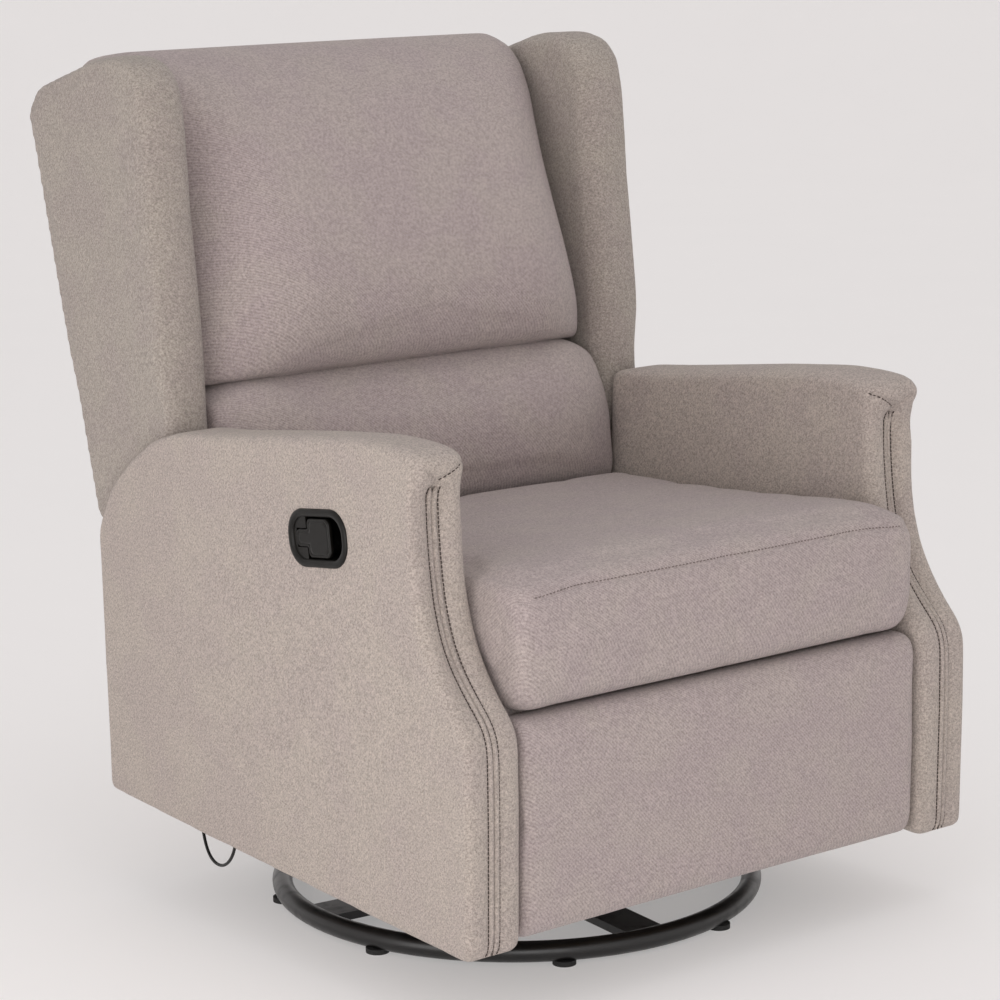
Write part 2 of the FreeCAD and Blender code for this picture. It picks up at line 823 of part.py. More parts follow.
def build_footrest():
    """The crossing links that carry the footrest, and the footrest itself, folded."""
    length = SIZE.link_length
    pin = SIZE.pin_radius
    half = length / 2
    drive_run = swing(DRIVE_SWING[0])
    cross_run = swing(CROSS_SWING[0])
    start = (SIZE.drive_y, SIZE.drive_z)
    slot_end = tuple(start[i] + half * (drive_run[i] - cross_run[i]) for i in (0, 1))
    crossing = tuple(start[i] + half * drive_run[i] for i in (0, 1))
    drive_end = tuple(start[i] + length * drive_run[i] for i in (0, 1))
    cross_end = tuple(slot_end[i] + length * cross_run[i] for i in (0, 1))
    mount = tuple(drive_end[i] + length * cross_run[i] for i in (0, 1))
    second_crossing = tuple(drive_end[i] + half * cross_run[i] for i in (0, 1))
    short_end = tuple(cross_end[i] + length * drive_run[i] for i in (0, 1))
    knuckle = (mount[0] + 12, mount[1] - 88)

    layers = (264.5, 259, 253.5, 248)
    drive_parts = [rod("drive_tube", 10, 529, (-264.5, *start), "X")]
    for side, sign in SIDES:
        drive = link(f"drive_{side}", start, drive_end, layers[0], sign, ())
        drive_parts.append(drive)
        drive_parts.append(stud("drive_stud", sign, 264.5, 275, start, 6))
        drive_parts.append(stud("drive_pin", sign, 258.5, 265, drive_end, pin))
        drive_parts.append(stud("drive_mid", sign, 258.5, 265, crossing, pin))

        cross = link(f"cross_{side}", slot_end, cross_end, layers[1], sign, (crossing,))
        pins = [stud("slot_pin", sign, 262.5, 276, slot_end, pin)]
        pins.append(stud("cross_pin", sign, 262.5, 269, cross_end, pin))
        name = f"footrest_cross_link_{side}"
        node(name, fuse(name, [cross, *pins]))

        name = f"footrest_long_link_{side}"
        bores = (drive_end, mount)
        node(name, link(name, drive_end, mount, layers[1], sign, bores))

        short = link(f"short_{side}", cross_end, short_end, layers[0], sign, (cross_end,))
        pins = [stud("short_pin", sign, 253, 265, short_end, pin)]
        name = f"footrest_short_link_{side}"
        node(name, fuse(name, [short, *pins]))

        control = link(
            f"control_{side}", short_end, knuckle, layers[2], sign, (short_end,), dim(16)
        )
        pins = [stud("knuckle_pin", sign, 252.4, 258, knuckle, pin)]
        name = f"footrest_control_link_{side}"
        node(name, fuse(name, [control, *pins]))

        back = dim(-385)
        ear = plate(
            f"ear_{side}",
            [
                (back, mount[1] + 14),
                (back, knuckle[1] - 12),
                (knuckle[0] + 9, knuckle[1] - 9),
                (knuckle[0] + 9, knuckle[1] + 12),
                (mount[0] + 10, mount[1] - 10),
                (mount[0] + 10, mount[1] + 10),
            ],
            on_side(sign, dim(layers[3]), SIZE.steel),
            SIZE.steel,
            rounds=[((2, 3, 5), 6)],
        )
        pins = [stud("mount_pin", sign, 251.5, 264, mount, pin)]
        foot_x = (238, 252) if sign > 0 else (-252, -238)
        seat_strip = box("strip", foot_x, (back - 3, back), (knuckle[1] - 12, mount[1] + 14))
        name = f"footrest_bracket_{side}"
        node(name, fuse(name, [ear, *pins, seat_strip]))
    node("footrest_drive_links", fuse("footrest_drive_links", drive_parts))

    front = SIZE.front_face + 4
    board = box("footrest_board", (-285, 285), (dim(-400), dim(-388)), (118, 336))
    node("footrest_board", board)
    pad = plate(
        "footrest_pad",
        [
            (dim(-400), 104),
            (dim(-400), 344),
            (front + 12, 344),
            (front, 330),
            (front, 118),
            (front + 10, 104),
        ],
        -SIZE.seat_half_width,
        SIZE.seat_half_width * 2,
    )
    node("footrest_pad", pad)


# ---------------------------------------------------------------- back
def back_point(forward, up):
    """A point in front of the back's rear line by forward, and up along it, as (y, z)."""
    lean = math.radians(DRIVING["back_tilt"])
    y = SIZE.foot_y + math.sin(lean) * dim(up) - math.cos(lean) * dim(forward)
    z = SIZE.foot_z + math.cos(lean) * dim(up) + math.sin(lean) * dim(forward)
    return (y, z)


def back_block(rear, fore, low, high):
    """A rectangle that leans with the back."""
    return [
        back_point(rear, low),
        back_point(fore, low),
        back_point(fore, high),
        back_point(rear, high),
    ]


def build_back():
    """The reclining back: posts, rails, springs, wings, pads, rear panel and brackets."""
    for side, sign in SIDES:
        name = f"back_post_{side}"
        at = on_side(sign, dim(266.5), 30)
        node(name, plate(name, back_block(18, 60, 45, 545), at, 30))

        name = f"back_bracket_{side}"
        slant = math.radians(57)
        d_y = math.cos(slant)
        d_z = math.sin(slant)
        corners = []
        for along, across in ((-17, 16), (-17, -16), (150, -16), (150, 16)):
            corners.append(
                (
                    SIZE.pivot_y + along * d_y - across * d_z,
                    SIZE.pivot_z + along * d_z + across * d_y,
                )
            )
        bracket = plate(
            name,
            corners,
            on_side(sign, dim(296.5), SIZE.steel),
            SIZE.steel,
            holes=[((SIZE.pivot_y, SIZE.pivot_z), SIZE.pin_radius + 1 + SIZE.fit)],
            rounds=[((0, 1), 15)],
        )
        node(name, bracket)

        name = f"wing_{side}"
        thickness = SIZE.wing_outer - SIZE.wing_inner
        at = on_side(sign, SIZE.wing_inner, thickness)
        node(name, plate(name, wing_outline(), at, thickness))

    rails = []
    for low in (45, 230, 505):
        rails.append(plate("rail", back_block(18, 50, low, low + 40), -266.5, 533))
    node("back_rails", group("back_rails", rails))

    springs = []
    lean = Rotation(Vector(1, 0, 0), 90 - DRIVING["back_tilt"])
    y, z = back_point(54, 62)
    for x in (-165, -55, 55, 165):
        spring = serpentine(480, 56, 25, 2)
        spring.Placement = Placement(Vector(x, y.value, z.value), lean)
        springs.append(spring)
    node("back_springs", made("back_springs", Part.makeCompound(springs)))

    node("back_panel", plate("back_panel", back_block(0, 15, 0, 545), -305, 610))

    half = SIZE.seat_half_width - 6
    lumbar = [
        (dim(110), 466),
        (dim(90), 498),
        (dim(88), 545),
        (dim(102), 590),
        (dim(124), 624),
        (dim(165), 642),
        back_point(60, 175),
        back_point(60, 12),
    ]
    node("lumbar_pad", plate("lumbar_pad", lumbar, -half, half * 2))
    head = [
        (dim(150), 655),
        (dim(118), 668),
        (dim(108), 702),
        (dim(120), 762),
        (dim(168), 862),
        (dim(228), 952),
        (dim(292), 1006),
        (dim(350), 1020),
        back_point(16, 560),
        back_point(16, 550),
        back_point(60, 550),
        back_point(60, 188),
    ]
    node("head_pad", plate("head_pad", head, -half, half * 2))


def wing_outline():
    """A wing from the side: front roll, rounded top, rear line, and an arc round the pivot."""
    clear = SIZE.pivot_clear
    outline = [
        (dim(138), dim(600)),
        (dim(140), dim(700)),
        (dim(158), dim(840)),
        (dim(166), dim(935)),
        (dim(180), dim(990)),
        (dim(204), dim(1022)),
        (dim(232), dim(1032)),
        (dim(292), dim(1024)),
        (dim(374), dim(1000)),
        (dim(418), dim(982)),
        back_point(0, 512),
        back_point(0, 0),
    ]
    steps = 8
    first = 13
    last = 133
    for step in range(steps + 1):
        angle = math.radians(first + (last - first) * step / steps)
        outline.append(
            (
                SIZE.pivot_y + clear * math.cos(angle),
                SIZE.pivot_z + clear * math.sin(angle),
            )
        )
    return outline


# ---------------------------------------------------------------- the whole chair
race_top = build_base()
build_turntable(race_top)
build_glide_links()
build_mechanism_plates()
build_arms()
build_latch()
build_cable()
build_seat()
build_footrest()
build_back()

DOC.recompute()
for thing in DOC.Objects:
    faults = [state for state in thing.State if state in ("Invalid", "Error")]
    if faults:
        raise RuntimeError(f"{thing.Label} is {faults}")
for thing in NODES:
    if thing.Shape.isNull() or not thing.Shape.isValid():
        raise RuntimeError(f"{thing.Label} has no valid shape")

os.makedirs("parts", exist_ok=True)
for thing in NODES:
    thing.Shape.exportStep(f"parts/{thing.Label}.step")
print(f"{len(NODES)} nodes written")
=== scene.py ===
# %% [markdown]
# # A swivel glider nursery chair
# The real chair is a boxy recliner on a round steel base.  Its frame is plywood, its working parts
# are pressed steel, and everything that shows is foam under a warm grey woven cover.
# This notebook loads the finished frame, then makes the upholstery, the latch, the cable and the
# finishes round it, one step at a time.

# %% Load the frame
import json
import math

import bmesh
import bpy
import numpy as np
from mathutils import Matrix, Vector
from mathutils.bvhtree import BVHTree


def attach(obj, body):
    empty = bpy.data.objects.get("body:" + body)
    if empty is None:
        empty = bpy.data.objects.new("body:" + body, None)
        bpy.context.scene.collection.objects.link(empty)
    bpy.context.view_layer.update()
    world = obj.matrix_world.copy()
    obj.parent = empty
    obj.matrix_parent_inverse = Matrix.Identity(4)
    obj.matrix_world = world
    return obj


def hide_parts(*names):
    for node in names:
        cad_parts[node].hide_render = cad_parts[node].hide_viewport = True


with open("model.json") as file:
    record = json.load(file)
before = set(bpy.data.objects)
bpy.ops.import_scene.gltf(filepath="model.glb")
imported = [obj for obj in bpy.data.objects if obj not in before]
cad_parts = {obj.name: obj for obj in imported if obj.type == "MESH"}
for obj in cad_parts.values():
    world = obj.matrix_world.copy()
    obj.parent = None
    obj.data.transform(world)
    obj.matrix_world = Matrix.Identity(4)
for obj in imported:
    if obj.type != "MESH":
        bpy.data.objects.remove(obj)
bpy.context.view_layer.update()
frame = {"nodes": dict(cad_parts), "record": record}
MM = 0.001
SIDES = (("right", -1), ("left", 1))

# %% [markdown]
# ## The camera
# A catalogue picture of a chair is taken from a little above the seat, from far away with a long
# lens, so that upright edges stay nearly parallel.  A camera can be aimed with a constraint, but a
# rotation worked out once from two points is simpler and never shifts.

# %% Aim the camera
TARGET = Vector((0.0, -0.022, 0.487))
AZIMUTH = math.radians(-38.99)
ELEVATION = math.radians(11.58)
DISTANCE = 3.899
away = Vector(
    (
        math.sin(AZIMUTH) * math.cos(ELEVATION),
        -math.cos(AZIMUTH) * math.cos(ELEVATION),
        math.sin(ELEVATION),
    )
)
lens = bpy.data.cameras.new("camera")
lens.lens = 114.5
lens.sensor_width = 36.0
camera = bpy.data.objects.new("camera", lens)
camera.location = TARGET + away * DISTANCE
level = (-away).to_track_quat("-Z", "Y").to_matrix()
roll = math.radians(-0.49)
turned = level.copy()
turned.col[0] = level.col[0] * math.cos(roll) + level.col[1] * math.sin(roll)
turned.col[1] = level.col[1] * math.cos(roll) - level.col[0] * math.sin(roll)
camera.rotation_euler = turned.to_euler()
bpy.context.scene.collection.objects.link(camera)
bpy.context.scene.camera = camera
print("camera at", [round(value, 3) for value in camera.location])

# %% [markdown]
# ## The release cable
# A bicycle-style cable runs from the latch down inside the arm, hangs in a small loop under the
# body, and ends in a stop beside the pawl.  A cable bends evenly, so a NURBS curve through a few
# control points suits it better than straight pieces with rounded corners.

# %% Run the cable
CABLE = [
    (-364, -150, 494.5),
    (-364, -150, 468),
    (-361, -140, 438),
    (-356, -118, 408),
    (-350, -86, 378),
    (-345, -48, 346),
    (-341, -12, 312),
    (-340, 20, 274),
    (-340, 44, 230),
    (-340, 58, 180),
    (-340, 66, 128),
    (-339, 74, 82),
    (-337, 102, 56),
    (-333, 138, 58),
    (-325, 166, 88),
    (-312, 184, 132),
    (-301, 194, 172),
    (-301, 194, 204),
]
CABLE_DIAMETER = 4 * MM
line = bpy.data.curves.new("cable_jacket", "CURVE")
line.dimensions = "3D"
line.bevel_depth = 1.0
line.bevel_resolution = 4
spline = line.splines.new("NURBS")
spline.points.add(len(CABLE) - 1)
for point, place in zip(spline.points, CABLE):
    point.co = (*[value * MM for value in place], 1.0)
    point.radius = CABLE_DIAMETER / 2
spline.order_u = 3
spline.use_endpoint_u = True
spline.resolution_u = 10
cable = bpy.data.objects.new("cable_jacket", line)
bpy.context.scene.collection.objects.link(cable)
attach(cable, "chair")
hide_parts("release_cable")
print("cable control points", len(CABLE))

# %% [markdown]
# ## A shorthand for shader nodes
# A material is a small graph.  Drawing it node by node in code is long and hard to read, so one
# class wraps a socket and lets it be added and multiplied like a number, and one method makes any
# other node: its settings first, then the values or links of its inputs.

# %% Shader shorthand
class Wire:
    """One output socket.  Arithmetic on it adds Math nodes."""

    def __init__(self, paint, socket):
        self.paint = paint
        self.socket = socket

    def math(self, operation, *values):
        settings = {"operation": operation}
        return self.paint.node("ShaderNodeMath", settings, dict(enumerate(values)))

    def __add__(self, other):
        return self.math("ADD", self, other)

    def __mul__(self, other):
        return self.math("MULTIPLY", self, other)

    def __sub__(self, other):
        return self.math("SUBTRACT", self, other)

    def wave(self):
        """Sine, moved to run from 0 to 1."""
        return self.math("SINE", self) * 0.5 + 0.5

    def step(self, low, high):
        """A smooth climb from 0 to 1 between two values."""
        settings = {"interpolation_type": "SMOOTHSTEP"}
        return self.paint.node("ShaderNodeMapRange", settings, {0: self, 1: low, 2: high})


class Paint:
    """A material under construction, with its shader and its output."""

    def __init__(self, name, **constants):
        self.material = bpy.data.materials.new(name)
        self.material.use_nodes = True
        self.tree = self.material.node_tree
        self.shader = self.tree.nodes["Principled BSDF"]
        for socket, value in constants.items():
            self.shader.inputs[socket.replace("_", " ")].default_value = value

    def node(self, kind, settings=None, inputs=None, out=0):
        made = self.tree.nodes.new(kind)
        for key, value in (settings or {}).items():
            if key == "stops":
                self.set_stops(made, value)
            else:
                setattr(made, key, value)
        for key, value in (inputs or {}).items():
            self.feed(made.inputs[key], value)
        return Wire(self, made.outputs[out])

    def set_stops(self, ramp, stops):
        elements = ramp.color_ramp.elements
        while len(elements) < len(stops):
            elements.new(0.5)
        for element, (place, value) in zip(elements, stops):
            element.position = place
            element.color = (*value, 1.0)

    def feed(self, socket, value):
        if isinstance(value, Wire):
            self.tree.links.new(value.socket, socket)
        else:
            socket.default_value = value

    def place(self):
        """Where a point is on its own piece."""
        return self.node("ShaderNodeTexCoord", out="Object")

    def axes(self, place):
        split = self.node("ShaderNodeSeparateXYZ", None, {0: place})
        return [Wire(self, split.socket.node.outputs[index]) for index in range(3)]

    def noise(self, place, scale, detail=2.0, roughness=0.5):
        inputs = {"Vector": place, "Scale": scale, "Detail": detail, "Roughness": roughness}
        return self.node("ShaderNodeTexNoise", None, inputs, out="Fac")

    def mix(self, factor, low, high, blend="MIX"):
        settings = {"data_type": "RGBA", "blend_type": blend}
        inputs = {0: factor, 6: low, 7: high}
        return self.node("ShaderNodeMix", settings, inputs, out=2)

    def bump(self, height, distance, strength=1.0):
        inputs = {"Height": height, "Distance": distance, "Strength": strength}
        return self.node("ShaderNodeBump", None, inputs)

    def finish(self, **links):
        for socket, value in links.items():
            self.feed(self.shader.inputs[socket.replace("_", " ")], value)
        return self.material


def tone(red, green, blue):
    """A colour given the way paint charts give it, 0 to 255, turned into light values."""
    values = []
    for channel in (red, green, blue):
        share = channel / 255
        values.append(share / 12.92 if share < 0.04045 else ((share + 0.055) / 1.055) ** 2.4)
    return (*values, 1.0)


# %% [markdown]
# ## The cover fabric
# The cover is a heathered polyester tweed: beige, grey and a little mauve yarn, woven in a fine
# diagonal.  Up close there are separate threads, from afar only a soft speckle.  A picture of cloth
# would need unwrapped pieces, so the threads are built from waves and noise in space instead:
# a slanted wave gives the twill on any face, fine noise gives the speckle, slow noise the mottling.

# %% Fabric
def cover_fabric(name, light, dark, mauve, twill):
    paint = Paint(name, Roughness=0.92, Specular_IOR_Level=0.25, Sheen_Weight=0.18)
    paint.shader.inputs["Sheen Roughness"].default_value = 0.6
    place = paint.place()
    x, y, z = paint.axes(place)
    wobble = paint.noise(place, 90.0)
    slow = paint.noise(place, 14.0, detail=3.0).step(0.38, 0.62)
    patch = paint.noise(place, 60.0, detail=4.0, roughness=0.65).step(0.4, 0.66)
    grain = paint.noise(place, 520.0, detail=3.0, roughness=0.8).step(0.36, 0.64)
    slub = paint.noise(place, 290.0, detail=2.0).step(0.38, 0.62)
    pitch = 2 * math.pi / (3.3 * MM)
    along = (x + y + z) * (pitch * 0.72) + wobble * 5.0
    across = (x - y - z) * (pitch * 1.3) + wobble * 4.0
    ribs = along.wave()
    threads = ribs * 0.65 + across.wave() * 0.35
    weave = threads * twill + grain * (1.0 - twill)
    colour = paint.mix(slow * 0.4, light, mauve)
    colour = paint.mix(patch * 0.1, colour, dark)
    depth = weave * 0.56 + slub * 0.2 + 0.6
    colour = paint.mix(1.0, colour, depth, blend="MULTIPLY")
    height = weave * 0.7 + grain * 0.4 + slub * 0.5
    return paint.finish(Base_Color=colour, Normal=paint.bump(height, 0.5 * MM, 0.8))


ARM_CLOTH = cover_fabric(
    "arm_cloth", tone(181, 169, 160), tone(146, 135, 127), tone(172, 158, 154), 0.18
)
SEAT_CLOTH = cover_fabric(
    "seat_cloth", tone(175, 162, 158), tone(143, 131, 128), tone(168, 152, 154), 0.5
)
# The wings wear the same cover as the arms, but their cloth is made darker all over: painted shade
# for the wings' outer faces.
SHADED_WING_CLOTH = cover_fabric(
    "shaded_wing_cloth", tone(168, 158, 149), tone(136, 127, 119), tone(160, 147, 143), 0.22
)
print("fabrics", ARM_CLOTH.name, SEAT_CLOTH.name, SHADED_WING_CLOTH.name)

# %% [markdown]
# ## Hard finishes
# The ring is powder coated, which leaves a fine orange-peel skin.  Pressed steel inside is dipped
# black and rubs bright at its edges and pivots.  Springs are bare drawn wire.  The frame is
# plywood with its plies on show at the edges.  Each finish gets its own bump and its own
# changes of gloss, because that is what the eye reads as a material.

# %% Paint, steel, wood, plastic and rubber
def ring_paint():
    paint = Paint("ring_paint", Specular_IOR_Level=0.5, Coat_Weight=0.25)
    paint.shader.inputs["Coat Roughness"].default_value = 0.25
    place = paint.place()
    peel = paint.noise(place, 900.0)
    dust = paint.noise(place, 60.0, detail=5.0).step(0.45, 0.75)
    colour = paint.mix(dust * 0.35, tone(15, 14, 14), tone(28, 27, 26))
    gloss = dust * 0.18 + 0.34
    return paint.finish(
        Base_Color=colour, Roughness=gloss, Normal=paint.bump(peel, 0.06 * MM, 0.5)
    )


def dipped_steel():
    paint = Paint("dipped_steel", Specular_IOR_Level=0.5)
    place = paint.place()
    rolled = paint.noise(place, 35.0, detail=6.0, roughness=0.7)
    rub = rolled.step(0.58, 0.72)
    colour = paint.mix(rub * 0.6, tone(34, 34, 35), tone(92, 90, 88))
    gloss = rolled * 0.25 + 0.3
    bump = paint.bump(paint.noise(place, 400.0, detail=3.0), 0.05 * MM, 0.5)
    return paint.finish(Base_Color=colour, Roughness=gloss, Metallic=rub * 0.6 + 0.2, Normal=bump)


def bright_steel():
    paint = Paint("bright_steel", Metallic=0.95)
    place = paint.place()
    drawn = paint.noise(place, 260.0, detail=4.0)
    stain = paint.noise(place, 30.0, detail=3.0).step(0.5, 0.8)
    colour = paint.mix(stain, tone(178, 178, 180), tone(122, 116, 108))
    return paint.finish(
        Base_Color=colour, Roughness=drawn * 0.2 + 0.22, Normal=paint.bump(drawn, 0.05 * MM, 0.4)
    )


def frame_wood():
    paint = Paint("frame_wood", Specular_IOR_Level=0.3)
    place = paint.place()
    x, y, z = paint.axes(place)
    wander = paint.noise(place, 8.0, detail=3.0)
    rings = ((y + z) * 900.0 + x * 12.0 + wander * 26.0).wave()
    pores = paint.noise(place, 300.0, detail=4.0, roughness=0.7)
    colour = paint.mix(rings * 0.6, tone(214, 181, 136), tone(176, 134, 88))
    colour = paint.mix(pores.step(0.5, 0.75) * 0.4, colour, tone(128, 92, 58))
    bump = paint.bump(rings * 0.4 + pores * 0.6, 0.12 * MM, 0.5)
    return paint.finish(Base_Color=colour, Roughness=pores * 0.2 + 0.55, Normal=bump)


def moulded(name, colour, worn, rough, size, tall, shine=0.5):
    paint = Paint(name, Specular_IOR_Level=shine)
    place = paint.place()
    grain = paint.noise(place, size, detail=3.0)
    smear = paint.noise(place, 45.0, detail=3.0).step(0.4, 0.75)
    mixed = paint.mix(smear * 0.5, colour, worn)
    gloss = smear * 0.12 + rough
    return paint.finish(
        Base_Color=mixed, Roughness=gloss, Normal=paint.bump(grain, tall * MM, 0.6)
    )


FINISHES = {
    "ring_paint": ring_paint(),
    "mechanism_steel": dipped_steel(),
    "bright_steel": bright_steel(),
    "frame_wood": frame_wood(),
    "latch_plastic": moulded(
        "latch_plastic", tone(15, 13, 10), tone(23, 20, 17), 0.36, 800.0, 0.05, shine=0.28
    ),
    "glide_rubber": moulded("glide_rubber", tone(24, 24, 24), tone(48, 46, 44), 0.75, 500.0, 0.15),
    "cable_jacket": moulded("cable_jacket", tone(16, 16, 16), tone(34, 33, 32), 0.4, 900.0, 0.08),
}
THREAD = moulded("seam_thread", tone(104, 93, 89), tone(124, 112, 107), 0.8, 1500.0, 0.1)
# The welt thread is much darker than the seam thread. It is thread plus painted shade for the deep
# gaps along the welts.
WELT_THREAD_AND_SHADE = moulded("welt_thread_and_shade", tone(66, 56, 52), tone(84, 73, 68), 0.85, 1500.0, 0.1)
cable.data.materials.append(FINISHES["cable_jacket"])
print("finishes", ", ".join(FINISHES))

# %% Dress the frame's own parts
for part in frame["record"]["subparts"]:
    finish = FINISHES.get(part["material_slot"])
    if finish is None:
        continue
    shown = frame["nodes"][part["node"]]
    shown.data.materials.clear()
    shown.data.materials.append(finish)
print("dressed", len(frame["nodes"]), "nodes")

# %% [markdown]
# ## From a side view to a foam block
# An upholsterer cuts foam to a side profile and rounds its edges.  The same is done here: an outline
# in depth and height is walked in even steps, copied across the width, and drawn in near both
# faces along a quarter of an ellipse.  Each corner of the outline says how deep and how wide its
# rounding is.  A voxel remesh then gives the block an even skin that can be pressed, puffed or
# pinched like foam.

# %% Foam blocks
def keep_piece(name, mesh, body, material):
    piece = bpy.data.objects.new(name, mesh)
    bpy.context.scene.collection.objects.link(piece)
    mesh.materials.clear()
    mesh.materials.append(material)
    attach(piece, body)
    return piece


def bell(values, centre, width):
    """A soft hump of height 1."""
    return np.exp(-(((values - centre) / width) ** 2))


def climb(values, low, high):
    """0 below low, 1 above high, smooth between."""
    share = np.clip((values - low) / (high - low), 0, 1)
    return share * share * (3 - 2 * share)


def walk(corners, spacing):
    """Even steps round a closed outline.  Each row is y, z, depth and width of the rounding."""
    corners = np.array(corners, float)
    closed = np.vstack([corners, corners[:1]])
    lengths = np.linalg.norm(np.diff(closed[:, :2], axis=0), axis=1)
    reach = np.concatenate([[0.0], np.cumsum(lengths)])
    count = int(reach[-1] / spacing)
    stops = np.linspace(0, reach[-1], count, endpoint=False)
    return np.stack([np.interp(stops, reach, column) for column in closed.T], axis=1)


def soften(rows, rounds):
    """Average every point with its neighbours, which rounds the corners of an outline."""
    for _ in range(rounds):
        rows = rows * 0.5 + (np.roll(rows, 1, axis=0) + np.roll(rows, -1, axis=0)) * 0.25
    return rows


def foam_block(
    corners, low, high, spacing=5.0, rounds=8, faces=(1.0, 1.0), flat=0.0, push=None
):
    """A closed mesh from an outline, between two values of x, all in millimetres.

    faces scales the rounding at the low and at the high face.  flat turns its quarter ellipse
    into a parabola, which meets the face at an angle.  push is the direction in which deep
    rounding goes, where that isn't square to the outline.
    """
    rows = soften(walk(corners, spacing), rounds)
    ahead = np.roll(rows[:, :2], -1, axis=0) - np.roll(rows[:, :2], 1, axis=0)
    ahead /= np.linalg.norm(ahead, axis=1, keepdims=True)
    turn = np.sum(rows[:, 0] * np.roll(rows[:, 1], -1) - rows[:, 1] * np.roll(rows[:, 0], -1))
    inward = np.stack([-ahead[:, 1], ahead[:, 0]], axis=1) * (1 if turn > 0 else -1)
    if push is not None:
        deep = climb(rows[:, 2:3], 12, 30)
        inward = inward * (1 - deep) + np.array(push) * deep
    widest = min(rows[:, 3].max(), (high - low) / 2)
    near = widest * (1 - np.cos(np.linspace(0, math.pi / 2, 9)))
    middle = np.linspace(low + widest, high - widest, max(2, int((high - low) / 8)))
    stations = np.concatenate([low + near[:-1], middle, (high - near[:-1])[::-1]])
    mesh = bmesh.new()
    loops = []
    for x in stations:
        inset = 0
        for gap, size in zip((x - low, high - x), faces):
            share = np.clip(1 - gap / np.maximum(rows[:, 3] * size, 0.01), 0, 1)
            drop = (1 - np.sqrt(1 - share**2)) * (1 - flat) + share**2 * flat
            inset = inset + rows[:, 2] * size * drop
        points = (rows[:, :2] + inward * inset[:, None]) * MM
        loops.append([mesh.verts.new((x * MM, y, z)) for y, z in points])
    for before, after in zip(loops, loops[1:]):
        for index in range(len(before)):
            other = (index + 1) % len(before)
            mesh.faces.new((before[index], before[other], after[other], after[index]))
    mesh.faces.new(loops[0])
    mesh.faces.new(loops[-1])
    bmesh.ops.triangulate(mesh, faces=[face for face in mesh.faces if len(face.verts) > 4])
    bmesh.ops.recalc_face_normals(mesh, faces=mesh.faces)
    return mesh


def block_mesh(name, *blocks):
    """Put one or more closed blocks into one mesh."""
    joined = bpy.data.meshes.new(name)
    whole = bmesh.new()
    for block in blocks:
        part = bpy.data.meshes.new("part")
        block.to_mesh(part)
        block.free()
        whole.from_mesh(part)
        bpy.data.meshes.remove(part)
    whole.to_mesh(joined)
    whole.free()
    return joined


def foam_piece(name, body, cloth, *blocks):
    """A soft piece of one or more foam blocks, not yet skinned."""
    return keep_piece(name, block_mesh(name, *blocks), body, cloth)


# %% Skin, press and puff
def settle(piece):
    """Turn a piece's modifiers into plain mesh."""
    shape = piece.evaluated_get(bpy.context.evaluated_depsgraph_get())
    mesh = bpy.data.meshes.new_from_object(shape)
    material = piece.data.materials[0]
    piece.modifiers.clear()
    piece.data = mesh
    mesh.materials.clear()
    mesh.materials.append(material)
    return mesh


def reskin(piece, voxel, smoothing=6):
    remesh = piece.modifiers.new("skin", "REMESH")
    remesh.mode = "VOXEL"
    remesh.voxel_size = voxel * MM
    smooth = piece.modifiers.new("soften", "SMOOTH")
    smooth.iterations = smoothing
    settle(piece)


def read_points(mesh):
    points = np.empty(len(mesh.vertices) * 3)
    normals = np.empty(len(mesh.vertices) * 3)
    mesh.vertices.foreach_get("co", points)
    mesh.vertices.foreach_get("normal", normals)
    return points.reshape(-1, 3), normals.reshape(-1, 3)


def write_points(mesh, points):
    mesh.vertices.foreach_set("co", points.ravel())
    mesh.update()


def press(piece, rule, *more):
    """Move the points of a piece by a rule on their places, in millimetres, and normals."""
    points, normals = read_points(piece.data)
    write_points(piece.data, rule(points / MM, normals, *more) * MM)


def puff(piece, pressure=4.0, cap=9.0, stiffness=15.0, frames=20):
    """Blow the cover up like cloth over foam, and let no point move further than the cap."""
    scene = bpy.context.scene
    before, outward = read_points(piece.data)
    cloth = piece.modifiers.new("cloth", "CLOTH")
    cloth.settings.use_pressure = True
    cloth.settings.uniform_pressure_force = pressure
    cloth.settings.tension_stiffness = stiffness
    cloth.settings.compression_stiffness = stiffness
    cloth.settings.bending_stiffness = 2.0
    cloth.settings.effector_weights.gravity = 0.0
    cloth.point_cache.frame_start = 1
    cloth.point_cache.frame_end = frames
    for number in range(1, frames + 1):
        scene.frame_set(number)
    settle(piece)
    scene.frame_set(1)
    after, _ = read_points(piece.data)
    moved = after - before
    inward = np.minimum(np.sum(moved * outward, axis=1, keepdims=True), 0)
    moved -= outward * inward * 0.8
    far = np.linalg.norm(moved, axis=1, keepdims=True)
    moved *= np.minimum(1.0, cap * MM / np.maximum(far, 1e-9))
    write_points(piece.data, before + moved)
    print(f"{piece.name} puffed by up to {far.max() / MM:.1f} mm, capped at {cap} mm")


def refine(piece):
    """One subdivision, which hides the voxels."""
    finer = piece.modifiers.new("finer", "SUBSURF")
    finer.levels = 1
    finer.render_levels = 1
    settle(piece)
    piece.data.shade_smooth()


def cut(piece, hole):
    """Take a closed mesh out of a piece."""
    cutter = bpy.data.objects.new(hole.name, hole)
    bpy.context.scene.collection.objects.link(cutter)
    saw = piece.modifiers.new("saw", "BOOLEAN")
    saw.operation = "DIFFERENCE"
    saw.solver = "EXACT"
    saw.object = cutter
    settle(piece)
    bpy.data.objects.remove(cutter)


# %% [markdown]
# ## Seams
# A seam shows in three ways: the foam is pinched along it, the thread lies in the pinch as short
# dashes, and on the arms a pair of fabric-covered cords, a double welt, stands up out of it.
# The pinch is pressed into the skin.  Thread and welt are thin pieces of their own, laid on the
# finished skin by casting rays at it, so they follow every bulge.

# %% Thread and welt
def surface_of(piece):
    mesh = bmesh.new()
    mesh.from_mesh(piece.data)
    tree = BVHTree.FromBMesh(mesh)
    mesh.free()
    return tree


